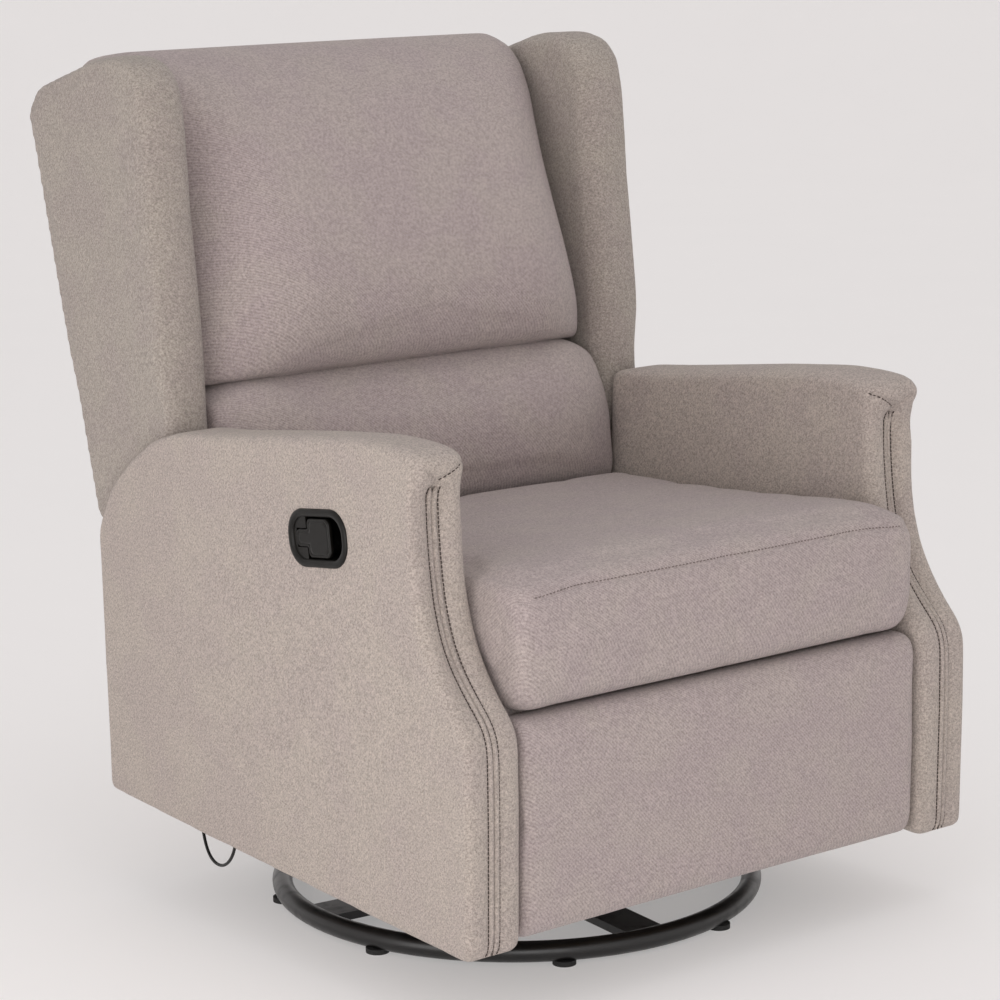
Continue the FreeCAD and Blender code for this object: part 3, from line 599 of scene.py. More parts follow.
def lay_on(tree, points, toward, lift=0.0):
    """Drop points, in millimetres, on to a surface along a direction."""
    toward = Vector(toward).normalized()
    landed = []
    for point in points:
        start = Vector(point) * MM - toward * 0.08
        spot, normal, _, _ = tree.ray_cast(start, toward, 0.3)
        if spot is not None:
            landed.append(spot + normal * lift * MM)
    return landed


def even_path(points, spacing):
    """Even steps along an open line, in the line's own unit."""
    points = np.array([tuple(point) for point in points])
    lengths = np.linalg.norm(np.diff(points, axis=0), axis=1)
    reach = np.concatenate([[0.0], np.cumsum(lengths)])
    count = max(2, int(reach[-1] / spacing))
    stops = np.linspace(0, reach[-1], count)
    return np.stack([np.interp(stops, reach, column) for column in points.T], axis=1)


def smooth_path(points, rounds):
    """Round the bends of an open line, and keep its ends."""
    points = np.array([tuple(point) for point in points], float)
    for _ in range(rounds):
        points[1:-1] = points[1:-1] * 0.5 + (points[:-2] + points[2:]) * 0.25
    return points


def tube_mesh(name, points, radius, sides=10):
    """A round cord along places in metres, with closed round ends."""
    curve = bpy.data.curves.new(name, "CURVE")
    curve.dimensions = "3D"
    curve.bevel_depth = radius * MM
    curve.bevel_resolution = sides // 4
    curve.use_fill_caps = True
    run = curve.splines.new("POLY")
    run.points.add(len(points) - 1)
    for point, place in zip(run.points, points):
        point.co = (*place, 1.0)
    for point in (run.points[0], run.points[-1]):
        point.radius = 0.3
    holder = bpy.data.objects.new(name, curve)
    bpy.context.scene.collection.objects.link(holder)
    shape = holder.evaluated_get(bpy.context.evaluated_depsgraph_get())
    mesh = bpy.data.meshes.new_from_object(shape)
    bpy.data.objects.remove(holder)
    mesh.shade_smooth()
    return mesh


def dashes(name, runs, body, length=3.4, pitch=4.6, radius=0.55, material=THREAD):
    """Stitches along one or more lines: short thread capsules with a gap between them."""
    whole = bmesh.new()
    for run in runs:
        if len(run) < 2:
            continue
        path = even_path(run, pitch * MM)
        for start, end in zip(path, path[1:]):
            centre = Vector((start + end) / 2)
            along = Vector(end - start).normalized()
            side = along.orthogonal().normalized()
            up = along.cross(side)
            rings = []
            for share, size in ((-1, 0.3), (-0.7, 1), (0.7, 1), (1, 0.3)):
                middle = centre + along * (share * length * MM / 2)
                ring = []
                for index in range(6):
                    angle = index * math.pi / 3
                    spoke = side * math.cos(angle) + up * math.sin(angle)
                    ring.append(whole.verts.new(middle + spoke * (size * radius * MM)))
                rings.append(ring)
            for before, after in zip(rings, rings[1:]):
                for index in range(6):
                    other = (index + 1) % 6
                    quad = (before[index], before[other], after[other], after[index])
                    whole.faces.new(quad)
            whole.faces.new(rings[0][::-1])
            whole.faces.new(rings[-1])
    mesh = bpy.data.meshes.new(name)
    whole.to_mesh(mesh)
    whole.free()
    mesh.shade_smooth()
    piece = keep_piece(name, mesh, body, material)
    print(name, len(mesh.polygons), "faces of thread_and_shade")
    return piece


# %% [markdown]
# ## The arms
# Each arm is a hollow box: plywood sides, a foam-wrapped front that sweeps back above the knee, and
# a soft cap that rolls over the top and ends in a blunt nose.  One cover wraps all of it.
# The outer side runs on past the wing as a thin upholstered panel.  Two foam blocks, one thick and
# one thin, are fused by the remesh into a single skin.

# %% Arm profile
ARM_CENTRE = 349.5
ARM_INNER = 309.0
ARM_OUTER = 386.5
PANEL_INNER = 373.0
ARM_FRONT = [
    (-440, 89.5, 14, 17),
    (-442, 250, 14, 17),
    (-441, 332, 14, 17),
    (-432, 351, 15, 18),
    (-409, 374, 16, 19),
    (-386, 404, 16, 19),
    (-368, 436, 16, 19),
    (-356, 474, 16, 19),
    (-349, 522, 15, 18),
    (-346, 560, 14, 18),
    (-345, 596, 14, 20),
]
ARM_NOSE = [
    (-348, 606, 16, 24),
    (-360, 612, 22, 30),
    (-365, 622, 24, 32),
    (-358, 634, 22, 32),
    (-340, 641, 18, 34),
    (-308, 643, 15, 34),
    (-256, 643, 14, 34),
    (-151, 632, 14, 34),
    (35, 608, 14, 34),
]


def skirt(y):
    """Height of the body's lower edge, which rises toward the back."""
    return 87.5 + (y + 437) * 40 / 713


ARM_BLOCK = ARM_FRONT + ARM_NOSE + [
    (126, 597, 5, 10),
    (128, 560, 4, 8),
    (128, skirt(128), 3, 4),
]
SIDE_PANEL = [
    (20, skirt(20), 3, 4),
    (20, 560, 3, 4),
    (60, 600, 4, 5),
    (120, 596, 4, 5),
    (160, 584, 5, 6),
    (211, 552, 5, 6),
    (253, 515, 5, 6),
    (277, 476, 5, 6),
    (286, 455, 5, 6),
    (276, 127.5, 4, 5),
]
print("arm outline", len(ARM_BLOCK), "corners")


# %% Arm covers
def welt_valley(points, normals, side):
    """The pinch down the middle of the arm's front, deep above the knee and shallow below."""
    x, y, z = (points * (side, 1, 1)).T
    facing = climb(-normals[:, 1], 0.15, 0.6) * climb(-y, 300, 325)
    deep = 6.0 + 9.0 * climb(z, 350, 430)
    deep *= 1 - climb(z, 588, 606)
    pinch = bell(x, ARM_CENTRE + 1, 9.0) * 0.75 + bell(x, ARM_CENTRE + 1, 22.0) * 0.25
    return points - normals * (deep * pinch * facing)[:, None]


def arm_fullness(points, normals, side):
    """Foam stands a little proud of the board in the middle of the outer face."""
    x, y, z = (points * (side, 1, 1)).T
    outer = climb(normals[:, 0] * side, 0.6, 0.95) * climb(x, 380, 386)
    middle = bell(y, -150, 240) * bell(z, 360, 190)
    lift = outer * middle * 1.0
    return points + np.stack([lift * side, lift * 0, lift * 0], axis=1)


def cap_height(x):
    """Height of the V-shaped seam where the cap's nose meets the front, at a place across."""
    across = np.asarray(x) - ARM_CENTRE
    return 603 + np.where(across < 0, -across * 0.55, across * 0.75)


def cap_seam(points, normals, side):
    """The V is pinched into the foam, and its outer limb fades out round the corner."""
    x, y, z = (points * (side, 1, 1)).T
    facing = climb(-normals[:, 1], 0.02, 0.4) * climb(-y, 330, 342)
    limb = np.where(x < ARM_CENTRE, 1.0, 1 - climb(x, ARM_CENTRE + 12, ARM_CENTRE + 36))
    depth = bell(z, cap_height(x), 3.0) * 3.2 + bell(z, cap_height(x), 9.0) * 2.0
    return points - normals * (depth * facing * limb)[:, None]


arms = {}
for side_name, side in SIDES:
    arm = foam_piece(
        f"arm_{side_name}_cover",
        "chair",
        ARM_CLOTH,
        foam_block(
            ARM_BLOCK, *sorted((ARM_INNER * side, ARM_OUTER * side)), faces=(1.0, 0.55)[::side]
        ),
        foam_block(SIDE_PANEL, *sorted((PANEL_INNER * side, ARM_OUTER * side)), rounds=2),
    )
    reskin(arm, 4.2, smoothing=5)
    press(arm, welt_valley, side)
    press(arm, arm_fullness, side)
    press(arm, cap_seam, side)
    pieces = ("outer_panel", "inner_panel", "front_board", "top_pad")
    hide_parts(*[f"arm_{side_name}_{piece}" for piece in pieces])
    arm.data.shade_smooth()
    arms[side_name] = arm
    print(arm.name, len(arm.data.polygons), "faces")

# %% [markdown]
# ## The latch
# The footrest is let go by a paddle in a shallow black cup, moulded in plastic and sunk into the
# right arm.  Fingers go into the hollow in front of the paddle and pull it.  A rounded outline
# lofted inward, ring by ring, gives the bezel, its wall and its floor in one skin.

# %% Latch outline and opening
LATCH_Y = -178.0
LATCH_Z = 520.0
LATCH_TILT = math.radians(-7.5)
LATCH_OUT = -2.6


def in_latch(x, y, z):
    """A point given from the latch's middle, in metres; the latch is tipped up toward the front."""
    turned_y = y * math.cos(LATCH_TILT) - z * math.sin(LATCH_TILT)
    turned_z = y * math.sin(LATCH_TILT) + z * math.cos(LATCH_TILT)
    return Vector((x + LATCH_OUT, LATCH_Y + turned_y, LATCH_Z + turned_z)) * MM


def rounded_ring(half_long, half_high, corner, x):
    """Points of a rounded rectangle round the latch's middle, in metres."""
    steps = 10
    ring = []
    for turn, (a, b) in enumerate(((1, 1), (-1, 1), (-1, -1), (1, -1))):
        middle_y = a * (half_long - corner)
        middle_z = b * (half_high - corner)
        for index in range(steps + 1):
            angle = math.pi / 2 * (turn + index / steps)
            y = middle_y + corner * math.cos(angle)
            z = middle_z + corner * math.sin(angle)
            ring.append(in_latch(x, y, z))
    return ring


def loft(rings):
    """A closed skin over rings with the same number of points."""
    mesh = bmesh.new()
    loops = [[mesh.verts.new(point) for point in ring] for ring in rings]
    for before, after in zip(loops, loops[1:]):
        for index in range(len(before)):
            other = (index + 1) % len(before)
            mesh.faces.new((before[index], before[other], after[other], after[index]))
    mesh.faces.new(loops[0])
    mesh.faces.new(loops[-1])
    bmesh.ops.remove_doubles(mesh, verts=mesh.verts, dist=1e-6)
    bmesh.ops.recalc_face_normals(mesh, faces=mesh.faces)
    return mesh


opening = loft([rounded_ring(50, 28, 24, -400), rounded_ring(50, 28, 24, -349)])
cut(arms["right"], block_mesh("latch_opening", opening))
arms["right"].data.shade_smooth()
print("arm with its opening has", len(arms["right"].data.polygons), "faces")

# %% Latch housing
CUP_RINGS = [
    (48.6, 26.6, 23, -352.2),
    (48.8, 26.8, 23, -381.5),
    (52.5, 30.5, 26.5, -382.2),
    (54.6, 32.6, 28.5, -382.8),
    (55.3, 33.3, 29, -384.2),
    (54.9, 32.9, 28.7, -385.9),
    (53.4, 31.4, 27.3, -387.0),
    (50.5, 28.5, 24.6, -387.3),
    (48.2, 26.2, 22.6, -386.9),
    (46.6, 24.6, 21.2, -385.8),
    (46.0, 24.0, 20.6, -383.8),
    (45.2, 23.2, 20, -366.0),
    (42.5, 20.5, 17.5, -357.5),
    (38.0, 16.0, 14.0, -355.2),
    (20.0, 6.5, 5.5, -354.6),
]
housing_mesh = block_mesh("latch_cup", loft([rounded_ring(*row) for row in CUP_RINGS]))
housing_mesh.shade_smooth()
housing = keep_piece(
    "latch_cup", housing_mesh, "chair", FINISHES["latch_plastic"]
)
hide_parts("latch_housing")
print("latch cup", len(housing_mesh.polygons), "faces")


# %% Latch paddle
def paddle_outline(grow):
    """The paddle's T shape from the side: broad toward the front, a tab toward the back."""
    lower = [
        (-24 - grow, -17 - grow),
        (-19 - grow, -22 - grow),
        (14.5 + grow, -22 - grow),
        (18 + grow, -18.5 - grow),
        (18 + grow, -10 - grow),
        (36 + grow, -10 - grow),
        (39 + grow, -7 - grow),
    ]
    corners = lower + [(y, -z) for y, z in reversed(lower)]
    return soften(walk([(y, z, 0, 0) for y, z in corners], 1.2), 3)[:, :2]


def paddle_ring(grow, x, count=150):
    """The outline as a ring with a set number of points."""
    ring = [in_latch(x, y, z) for y, z in paddle_outline(grow)]
    closed = even_path([*ring, ring[0]], 0.4 * MM)
    picks = np.linspace(0, len(closed) - 1, count, endpoint=False).astype(int)
    return [Vector(closed[index]) for index in picks]


def pin_ring(radius, z):
    """A circle round the pin that the paddle turns on."""
    ring = []
    for index in range(16):
        angle = index * math.pi / 8
        x = -381 + radius * math.cos(angle)
        y = -140 + radius * math.sin(angle)
        ring.append(Vector((x, y, z)) * MM)
    return ring




PADDLE_RINGS = [
    (-1.2, -381.0),
    (-0.3, -381.3),
    (0.0, -382.2),
    (0.0, -384.6),
    (-0.35, -385.6),
    (-1.2, -386.0),
    (-2.4, -386.05),
    (-2.7, -385.5),
    (-3.4, -385.5),
    (-3.7, -386.0),
    (-6.0, -386.0),
]
PIN_RINGS = [(1.9, 500.2), (2.4, 500.8), (2.4, 539.2), (1.9, 539.8)]
blade = loft([paddle_ring(grow, x) for grow, x in PADDLE_RINGS])
trunnion = loft([pin_ring(radius, z) for radius, z in PIN_RINGS])
paddle_mesh = block_mesh("latch_pull", blade, trunnion)
paddle_mesh.shade_smooth()
paddle = keep_piece(
    "latch_pull", paddle_mesh, "paddle", FINISHES["latch_plastic"]
)
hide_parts("latch_paddle")
print("paddle", len(paddle_mesh.polygons), "faces")


# %% Latch deck
# A plate round the paddle leaves only the finger hollow in front of it open.
DECK_WINDOW = [
    (-48.0, -24.0),
    (-48.0, 24.0),
    (21.6, 24.0),
    (21.6, 10.9),
    (40.2, 10.9),
    (40.2, -10.9),
    (21.6, -10.9),
    (21.6, -24.0),
]
plate = loft([rounded_ring(46.6, 24.6, 21, x) for x in (-381.0, -384.2)])
deck = keep_piece(
    "latch_deck",
    block_mesh("latch_deck", plate),
    "chair",
    FINISHES["latch_plastic"],
)
window = loft([[in_latch(x, y, z) for y, z in DECK_WINDOW] for x in (-378.0, -388.0)])
cut(deck, block_mesh("latch_window", window))
print("latch deck", len(deck.data.polygons), "faces")

# %% [markdown]
# ## Welts down the arm fronts
# Two cords wrapped in the cover fabric run side by side up the middle of each arm front and hide
# the joint between the inner and the outer cover.  Thread shows between them.  That thread is dark,
# and two nearly unbroken dark lines run just outside the cords: painted shade for the deep gaps
# beside and between the cords.

# %% Welts
WELT_LINE = [
    (-445, 93),
    (-445, 215),
    (-443, 282),
    (-439, 336),
    (-430, 352),
    (-412, 368),
    (-390, 393),
    (-369, 424),
    (-353, 452),
    (-341, 484),
    (-335, 520),
    (-331, 560),
    (-330, 598),
]


def lay_on_arm(tree, path, lift):
    """Drop a path on an arm's front; where the front sweeps back, the path drops at a slant."""
    landed = []
    for point in path:
        toward = (0, 1, -0.55) if 345 < point[2] < 440 else (0, 1, 0)
        landed += lay_on(tree, [point], toward, lift=lift)
    return landed


WELT_SHIFT = 3.9
WELT_RADIUS = 3.8
for side_name, side in SIDES:
    tree = surface_of(arms[side_name])
    for number, shift in enumerate((-WELT_SHIFT, WELT_SHIFT), start=1):
        line = even_path([((ARM_CENTRE + shift) * side, y, z) for y, z in WELT_LINE], 8)
        placed = smooth_path(lay_on_arm(tree, smooth_path(line, 4), 0.9), 3)
        mesh = tube_mesh(f"welt_{side_name}_{number}", placed, WELT_RADIUS)
        keep_piece(f"welt_{side_name}_{number}", mesh, "chair", ARM_CLOTH)
    runs = []
    # The lines at either side of the cords are dark thread laid almost end to end, as painted shade
    # for the gaps there.
    for shift, lift in ((-7.6, 0.4), (0.0, 2.4), (7.6, 0.4)):
        seam = smooth_path([((ARM_CENTRE + shift) * side, y, z) for y, z in WELT_LINE], 1)
        runs.append(lay_on_arm(tree, even_path(seam, 6), lift))
    limb = []
    for x in np.linspace(ARM_CENTRE - 2, 313, 24):
        limb += lay_on(tree, [(x * side, -400, float(cap_height(x)) + 1.5)], (0, 1, 0), lift=0.2)
    runs.append(limb)
    dashes(
        f"welt_{side_name}_thread_and_shade", runs, "chair", 4.0, 4.8, radius=0.8, material=WELT_THREAD_AND_SHADE
    )
print("welts laid")

# %% [markdown]
# ## Seat cushion
# The seat is one loose foam block in a boxed cover.  Its front face is upright with rounded lower
# corners, the top crowns gently and drops toward the back, and a stitched seam runs just under the
# front edge.  The block starts a little small and is puffed as cloth, so its faces swell between the
# seams the way a full cover does, then it is flattened where the arms press on it.

# %% Make the seat cushion
SEAT_BLOCK = [
    (-392, 350, 10, 16),
    (-418, 350, 22, 28),
    (-433, 362, 24, 32),
    (-437, 390, 16, 28),
    (-437, 468, 14, 28),
    (-429, 489, 16, 32),
    (-402, 497, 18, 40),
    (-340, 495, 18, 44),
    (-200, 484, 18, 46),
    (-60, 474, 16, 46),
    (60, 468, 12, 40),
    (97, 465, 6, 20),
    (102, 448, 5, 12),
    (101, 388, 5, 12),
    (70, 361, 6, 12),
    (-380, 355, 6, 12),
]


def seat_crown(points, normals):
    """The middle of the seat stands higher than its sides."""
    x, y, z = points.T
    across = 1 - np.clip(np.abs(x) / 300, 0, 1) ** 2.4
    top = climb(z, 430, 480)
    lift = across * top * 6.0
    return points + np.stack([lift * 0, lift * 0, lift], axis=1)


def seat_limits(points, normals):
    """The arms, the frame and the footrest flatten what touches them."""
    x, y, z = points.T
    floor = np.where(y < -389, 348.0, 353.6)
    return np.stack([np.clip(x, -307, 307), np.clip(y, -443, 103), np.maximum(z, floor)], axis=1)


def seam_height(x):
    """Height of the seam under the front edge, which drops toward both corners."""
    return 484 - 5.0 * climb(np.abs(x), 215, 298)


def seat_seam(points, normals):
    """A pinch along the seam under the front edge."""
    x, y, z = points.T
    line = seam_height(x)
    facing = climb(-normals[:, 1], 0.2, 0.6) * climb(-y, 380, 420)
    depth = (bell(z, line, 3.2) * 2.4 + bell(z, line, 11.0) * 1.4) * facing
    return points - normals * depth[:, None]


cushion = foam_piece(
    "seat_cushion_cover", "seat", SEAT_CLOTH, foam_block(SEAT_BLOCK, -305, 305, rounds=4)
)
reskin(cushion, 6.0, smoothing=6)
press(cushion, seat_crown)
puff(cushion, cap=7.0)
press(cushion, seat_limits)
refine(cushion)
press(cushion, seat_seam)
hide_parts("seat_cushion")
print("seat cushion", len(cushion.data.polygons), "faces")

# %% Seat platform lining
LINING = [
    (-387.2, 318, 1, 3),
    (-384.4, 318, 1, 3),
    (-384.4, 350.6, 1, 3),
    (-340, 350.6, 1, 3),
    (-340, 353.4, 1, 3),
    (-386, 353.4, 1, 3),
    (-387.2, 350, 1, 3),
]
platform = foam_piece(
    "seat_platform_lining",
    "seat",
    SEAT_CLOTH,
    foam_block(LINING, -300, 300, spacing=1.2, rounds=2),
)
platform.data.shade_smooth()
print("lining", len(platform.data.polygons), "faces")

# %% Seat seam thread
tree = surface_of(cushion)
line = []
for x in np.linspace(-282, 282, 160):
    line += lay_on(tree, [(x, -445, float(seam_height(x)))], (0, 1, 0), lift=0.1)
dashes("seat_seam_thread", [line], "seat", length=3.2, pitch=5.2, radius=0.6)

# %% [markdown]
# ## Footrest pad
# Folded down, the footrest closes the front below the seat.  It is a board under thin foam, so its
# face is nearly flat with soft edges, and the top edge is rounder because it becomes the heel rest.

# %% Make the footrest pad
FOOT_BLOCK = [
    (-401, 96, 4, 8),
    (-401, 337.5, 3, 6),
    (-388.6, 337.5, 3, 6),
    (-388.6, 345.5, 4, 8),
    (-420, 346.5, 7, 14),
    (-430, 341, 9, 16),
    (-434, 326, 8, 16),
    (-436, 225, 6, 14),
    (-434, 122, 7, 14),
    (-430, 102, 8, 14),
    (-418, 96, 7, 12),
]


def foot_limits(points, normals):
    """The board and the seat hold the pad's rear, and its lip hooks over the board's top edge."""
    x, y, z = points.T
    behind = y > -404
    y = np.where(behind & (z < 336), np.minimum(y, -400.4), np.minimum(y, -388.4))
    z = np.where(behind & (y > -400.4), np.maximum(z, 336.5), z)
    return np.stack([np.clip(x, -306, 306), y, np.clip(z, 94, 346.8)], axis=1)


footpad = foam_piece(
    "footrest_pad_cover", "footrest", SEAT_CLOTH, foam_block(FOOT_BLOCK, -305, 305, rounds=2)
)
reskin(footpad, 4.0, smoothing=4)
puff(footpad, pressure=3.0, cap=3.0)
press(footpad, foot_limits)
refine(footpad)
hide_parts("footrest_pad")
print("footrest pad", len(footpad.data.polygons), "faces")

# %% [markdown]
# ## The back's two cushions
# The lumbar roll and the taller head cushion are sewn bags filled with fibre.  They bulge forward in
# the middle and their sides fall back to the wings, so the rounding at their edges is deep: a
# long ellipse low down, where the fill gathers, and a thin one at the top.

# %% Back frame line
LEAN = math.radians(14.6)


def on_back(forward, up):
    """A point by its distance in front of the back's rear line and its height up it."""
    y = 308 + math.sin(LEAN) * up - math.cos(LEAN) * forward
    z = 460 + math.cos(LEAN) * up + math.sin(LEAN) * forward
    return (y, z)


def leaning(y, z):
    """How far a point stands in front of the back's rear line, and how far up."""
    ahead = (308 - y) * math.cos(LEAN) + (z - 460) * math.sin(LEAN)
    up = (y - 308) * math.sin(LEAN) + (z - 460) * math.cos(LEAN)
    return ahead, up


# %% Lumbar roll
LUMBAR_BLOCK = [
    (112, 451, 4, 60),
    (100, 470, 12, 90),
    (92, 486, 24, 98),
    (89, 512, 30, 104),
    (89, 550, 35, 104),
    (100, 590, 39, 104),
    (118, 621, 40, 98),
    (144, 638, 32, 78),
    (174, 637, 22, 56),
    (*on_back(62, 158), 6, 14),
    (*on_back(62, 10), 6, 14),
    (170, 452, 4, 16),
]


SPRING_FACE = 60.6
RAIL_TOP = 546.5
RAIL_REAR = 16.4


def back_limits(points, normals, half_width):
    """Wings hold the sides; springs and rails hold the rear, except over the top rail."""
    x, y, z = points.T
    ahead, up = leaning(y, z)
    floor = np.where(up > RAIL_TOP, RAIL_REAR, SPRING_FACE)
    over = np.maximum(floor - ahead, 0)
    over = np.where(over > 30, 0, over)
    y = y - over * math.cos(LEAN)
    z = z + over * math.sin(LEAN)
    return np.stack([np.clip(x, -half_width, half_width), y, z], axis=1)


lumbar = foam_piece(
    "lumbar_roll",
    "back",
    SEAT_CLOTH,
    foam_block(LUMBAR_BLOCK, -303.5, 303.5, rounds=5, flat=0.4),
)
reskin(lumbar, 6.0, smoothing=6)
puff(lumbar, cap=6.0)
press(lumbar, back_limits, 304.5)
refine(lumbar)
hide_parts("lumbar_pad")
print("lumbar roll", len(lumbar.data.polygons), "faces")

# %% Head cushion
HEAD_BLOCK = [
    (196, 639, 28, 60),
    (154, 642, 50, 90),
    (132, 649, 65, 104),
    (120, 665, 76, 122),
    (112, 702, 87, 134),
    (116, 742, 98, 138),
    (130, 788, 104, 138),
    (151, 834, 103, 134),
    (177, 880, 93, 126),
    (205, 924, 77, 108),
    (236, 962, 55, 84),
    (272, 994, 34, 56),
    (312, 1018, 18, 34),
    (352, 1028, 12, 24),
    (*on_back(30, 568), 6, 16),
    (*on_back(17, 562), 5, 10),
    (*on_back(17, 547), 5, 10),
    (*on_back(61, 547), 4, 8),
    (*on_back(62, 182), 6, 14),
    (236, 636, 8, 30),
]
head = foam_piece(
    "head_cushion",
    "back",
    SEAT_CLOTH,
    foam_block(
        HEAD_BLOCK, -304, 304, rounds=4, flat=0.75, push=(math.cos(LEAN), -math.sin(LEAN))
    ),
)
reskin(head, 6.0, smoothing=6)
puff(head, pressure=2.0, cap=3.0)
press(head, back_limits, 304.8)
refine(head)
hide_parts("head_pad")
print("head cushion", len(head.data.polygons), "faces")

# %% [markdown]
# ## Wings
# The wings keep draughts off a sleeping baby.  Each is a board with a fat foam roll along its front
# edge, so its section is a half circle in front and nearly square behind.  A short pleat takes up
# spare fabric where the roll turns over the top.

# %% Make the wings
WING_INNER = 306.5
WING_OUTER = 371.0
WING_CLEAR = 91.0
PIVOT_Y = 198.0
PIVOT_Z = 440.0
WING_FRONT = [
    (137, 596, 29, 31),
    (138, 640, 30, 31),
    (141, 700, 30, 31),
    (149, 770, 30, 31),
    (159, 850, 30, 31),
    (163, 905, 30, 31),
    (169, 960, 28, 31),
    (180, 1002, 24, 30),
    (204, 1026, 20, 28),
    (238, 1033, 14, 24),
    (292, 1028, 12, 22),
    (340, 1013, 11, 20),
    (376, 1002, 10, 18),
    (416, 988, 6, 12),
    (*on_back(-1, 512), 3, 5),
    (*on_back(-1, 300), 2, 4),
    (*on_back(0, 4), 2, 4),
]
WING_ARC = []
for index in range(13):
    angle = math.radians(13 + index * 10)
    y = PIVOT_Y + WING_CLEAR * math.cos(angle)
    z = PIVOT_Z + WING_CLEAR * math.sin(angle)
    WING_ARC.append((y, z, 4, 6))
WING_BLOCK = WING_FRONT + WING_ARC


def wing_fullness(points, normals, side):
    """The outer face swells slightly between the roll and the rear edge."""
    x, y, z = (points * (side, 1, 1)).T
    outer = climb(normals[:, 0] * side, 0.1, 0.8) * climb(z, 615, 680)
    lift = outer * (2.5 + 3.5 * climb(-y, -240 - (z - 700) * 0.1, -150)) * side
    return points + np.stack([lift, lift * 0, lift * 0], axis=1)


def pleat(points, normals, side):
    """A short crease across the inner side of the roll, near the top."""
    x, y, z = (points * (side, 1, 1)).T
    line = 968 + (y - 168) * 0.55
    there = climb(-normals[:, 1], 0.1, 0.5) * climb(x, 308, 318) * (1 - climb(x, 338, 350))
    depth = bell(z, line, 3.0) * there * 1.8 * climb(-y, -230, -190)
    return points - normals * depth[:, None]


def keep_clear(points, normals, side):
    """Nothing of the wing comes nearer to the recline axis than its clearance."""
    x, y, z = points.T
    reach = np.hypot(y - PIVOT_Y, z - PIVOT_Z)
    push = np.maximum(WING_CLEAR - 0.5, reach) / np.maximum(reach, 1.0)
    outermost = WING_OUTER + 7.0 * climb(z, 612, 670)
    x = np.clip(x * side, 305.4, outermost) * side
    return np.stack([x, PIVOT_Y + (y - PIVOT_Y) * push, PIVOT_Z + (z - PIVOT_Z) * push], axis=1)


for side_name, side in SIDES:
    low, high = sorted((WING_INNER * side, WING_OUTER * side))
    wing = foam_piece(
        f"wing_{side_name}_cover",
        "back",
        SHADED_WING_CLOTH,
        foam_block(WING_BLOCK, low, high, rounds=4, faces=(1.0, 0.55)[::side]),
    )
    reskin(wing, 5.0, smoothing=3)
    puff(wing, pressure=3.0, cap=3.0)
    press(wing, wing_fullness, side)
    press(wing, keep_clear, side)
    refine(wing)
    press(wing, pleat, side)
    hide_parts(f"wing_{side_name}")
    print(wing.name, len(wing.data.polygons), "faces")

# %% [markdown]
# ## Rear covers
# Behind, a flat upholstered panel closes the back frame and a fixed one closes the body below it,
# so that the back can lean away without opening a hole.  Both are thin pads pulled tight over board,
# with a blind-stitched edge.

# %% Make the rear covers
REAR_BLOCK = [
    (*on_back(0.5, 1), 3, 5),
    (*on_back(0.5, 270), 3, 5),
    (*on_back(0.5, 540), 4, 8),
    (*on_back(6, 545), 4, 8),
    (*on_back(14.5, 544), 3, 5),
    (*on_back(14.5, 270), 2, 4),
    (*on_back(14.5, 1), 2, 4),
]
rear = foam_piece(
    "rear_cover", "back", ARM_CLOTH, foam_block(REAR_BLOCK, -304.5, 304.5, rounds=2)
)
reskin(rear, 5.0, smoothing=3)


def rear_tension(points, normals):
    """Fabric pulled to its edges stands a little proud in the middle and dips at the seam."""
    x, y, z = points.T
    ahead, up = leaning(y, z)
    behind = climb(-ahead, -8, -1)
    middle = (1 - (np.abs(x) / 305) ** 4) * bell(up, 270, 230)
    edge = np.maximum(bell(np.abs(x), 290, 3.5), bell(up, 528, 3.5)) * 1.6
    lift = behind * (middle * 2.5 - edge)
    return points + np.stack([lift * 0, lift * math.cos(LEAN), -lift * math.sin(LEAN)], axis=1)


refine(rear)
press(rear, rear_tension)
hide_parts("back_panel")

LOWER_BLOCK = [
    (262.5, 137, 2, 4),
    (262.5, 444, 2, 4),
    (273, 444, 4, 6),
    (273.5, 290, 4, 6),
    (273, 137, 4, 6),
]
lower = foam_piece(
    "lower_rear_cover", "chair", ARM_CLOTH, foam_block(LOWER_BLOCK, -371, 371, rounds=2)
)
reskin(lower, 5.0, smoothing=3)
refine(lower)
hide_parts("lower_back_panel")
print("rear covers", len(rear.data.polygons), len(lower.data.polygons), "faces")

# %% Rear stitching
tree = surface_of(rear)
lines = [[(x, *on_back(-30, up)) for up in np.linspace(14, 528, 90)] for x in (-290, 290)]
lines.append([(x, *on_back(-30, 528)) for x in np.linspace(-288, 288, 100)])
forward = (0, -math.cos(LEAN), math.sin(LEAN))
runs = [lay_on(tree, line, forward, lift=0.1) for line in lines]
dashes("rear_thread", runs, "back", length=3.6, pitch=6.0, radius=0.6)

# %% [markdown]
# ## Floor and light
# A product picture is lit by large soft boxes in front of paper that curves from the floor up to a
# wall, so no edge shows.  Here the paper runs all the way round, far out, because the chair is
# looked at from every side.  The main box stands on the chair's right, weaker ones fill from the
# front and from above, and the pale surroundings soften every shadow.

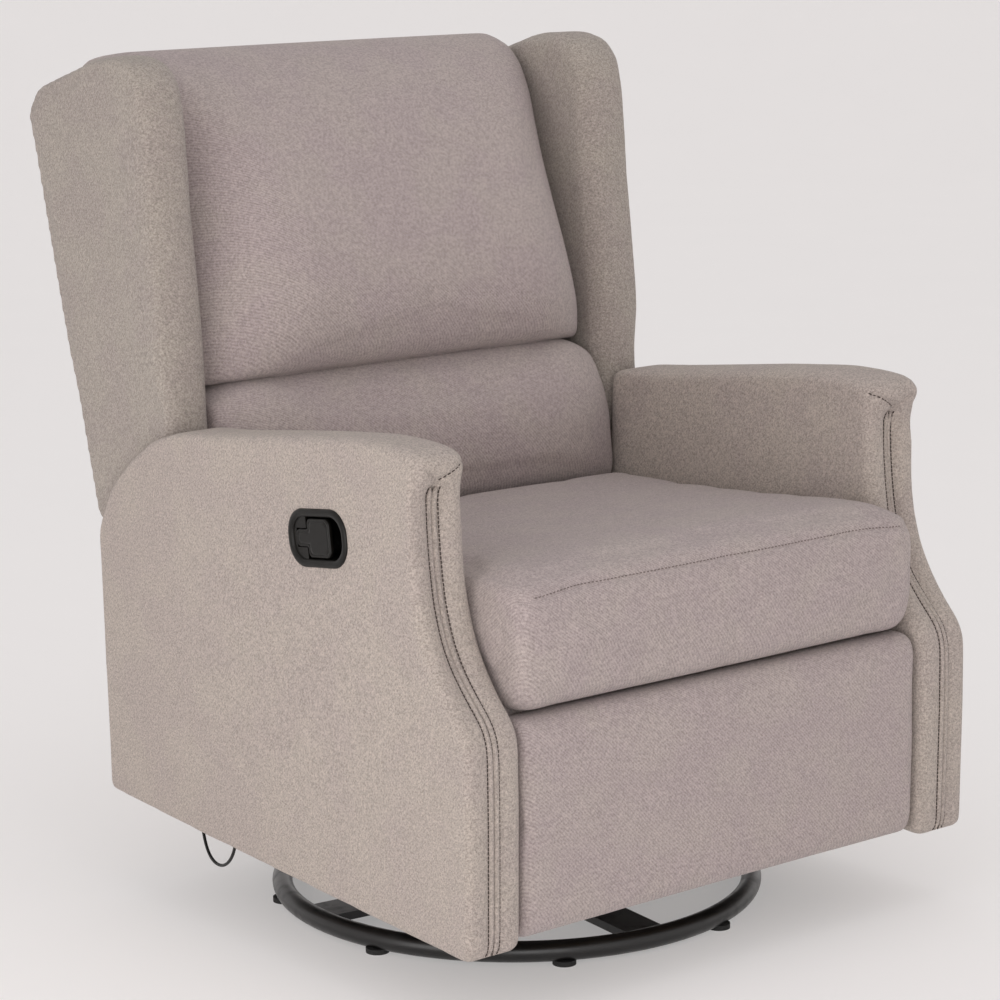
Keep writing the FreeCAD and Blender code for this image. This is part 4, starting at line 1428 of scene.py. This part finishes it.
# %% Paper sweep
FLOOR_RADIUS = 8.0
BEND = 4.0
WALL_TOP = 10.0
sweep_profile = [(0.05, 0.0), (3.0, 0.0), (FLOOR_RADIUS, 0.0)]
for index in range(1, 17):
    angle = math.pi / 2 * index / 16
    sweep_profile.append((FLOOR_RADIUS + BEND * math.sin(angle), BEND - BEND * math.cos(angle)))
sweep_profile.append((FLOOR_RADIUS + BEND, WALL_TOP))
paper = bmesh.new()
rows = []
for step in range(96):
    turn = 2 * math.pi * step / 96
    row = []
    for out, up in sweep_profile:
        row.append(paper.verts.new((out * math.cos(turn), out * math.sin(turn), up)))
    rows.append(row)
for before, after in zip(rows, rows[1:] + rows[:1]):
    for index in range(len(before) - 1):
        paper.faces.new((before[index], after[index], after[index + 1], before[index + 1]))
paper.faces.new([row[0] for row in rows])
bmesh.ops.recalc_face_normals(paper, faces=paper.faces)
sweep_mesh = bpy.data.meshes.new("paper_sweep")
paper.to_mesh(sweep_mesh)
paper.free()
sweep_mesh.shade_smooth()
sweep = bpy.data.objects.new("paper_sweep", sweep_mesh)
bpy.context.scene.collection.objects.link(sweep)
paper_paint = Paint("paper", Roughness=0.95, Specular_IOR_Level=0.1, Emission_Strength=0.3)
paper_paint.shader.inputs["Emission Color"].default_value = (1.0, 0.985, 0.98, 1.0)
fibre = paper_paint.noise(paper_paint.place(), 3.0)
shade = paper_paint.mix(fibre * 0.25, tone(208, 205, 204), tone(200, 197, 197))
sweep_mesh.materials.append(paper_paint.finish(Base_Color=shade))


# %% Lamps
def soft_box(name, azimuth, elevation, distance, size, power, colour=(1.0, 1.0, 1.0)):
    """A square lamp that looks at the chair."""
    lamp = bpy.data.lights.new(name, "AREA")
    lamp.shape = "SQUARE"
    lamp.size = size
    lamp.energy = power
    lamp.color = colour
    holder = bpy.data.objects.new(name, lamp)
    a = math.radians(azimuth)
    e = math.radians(elevation)
    out = Vector((math.sin(a) * math.cos(e), -math.cos(a) * math.cos(e), math.sin(e)))
    holder.location = TARGET + out * distance
    holder.rotation_euler = (-out).to_track_quat("-Z", "Y").to_euler()
    bpy.context.scene.collection.objects.link(holder)


soft_box("main_box", -72, 4, 2.5, 1.5, 14, (1.0, 0.985, 0.97))
soft_box("fill_box", -34, 6, 3.2, 1.6, 16)
soft_box("front_box", -4, 18, 4.2, 2.4, 5)
soft_box("top_box", 0, 82, 3.4, 2.2, 9)
world = bpy.data.worlds.new("studio")
world.use_nodes = True
world.node_tree.nodes["Background"].inputs["Color"].default_value = (0.93, 0.92, 0.925, 1.0)
world.node_tree.nodes["Background"].inputs["Strength"].default_value = 0.74
bpy.context.scene.world = world
bpy.context.scene.view_settings.view_transform = "Standard"
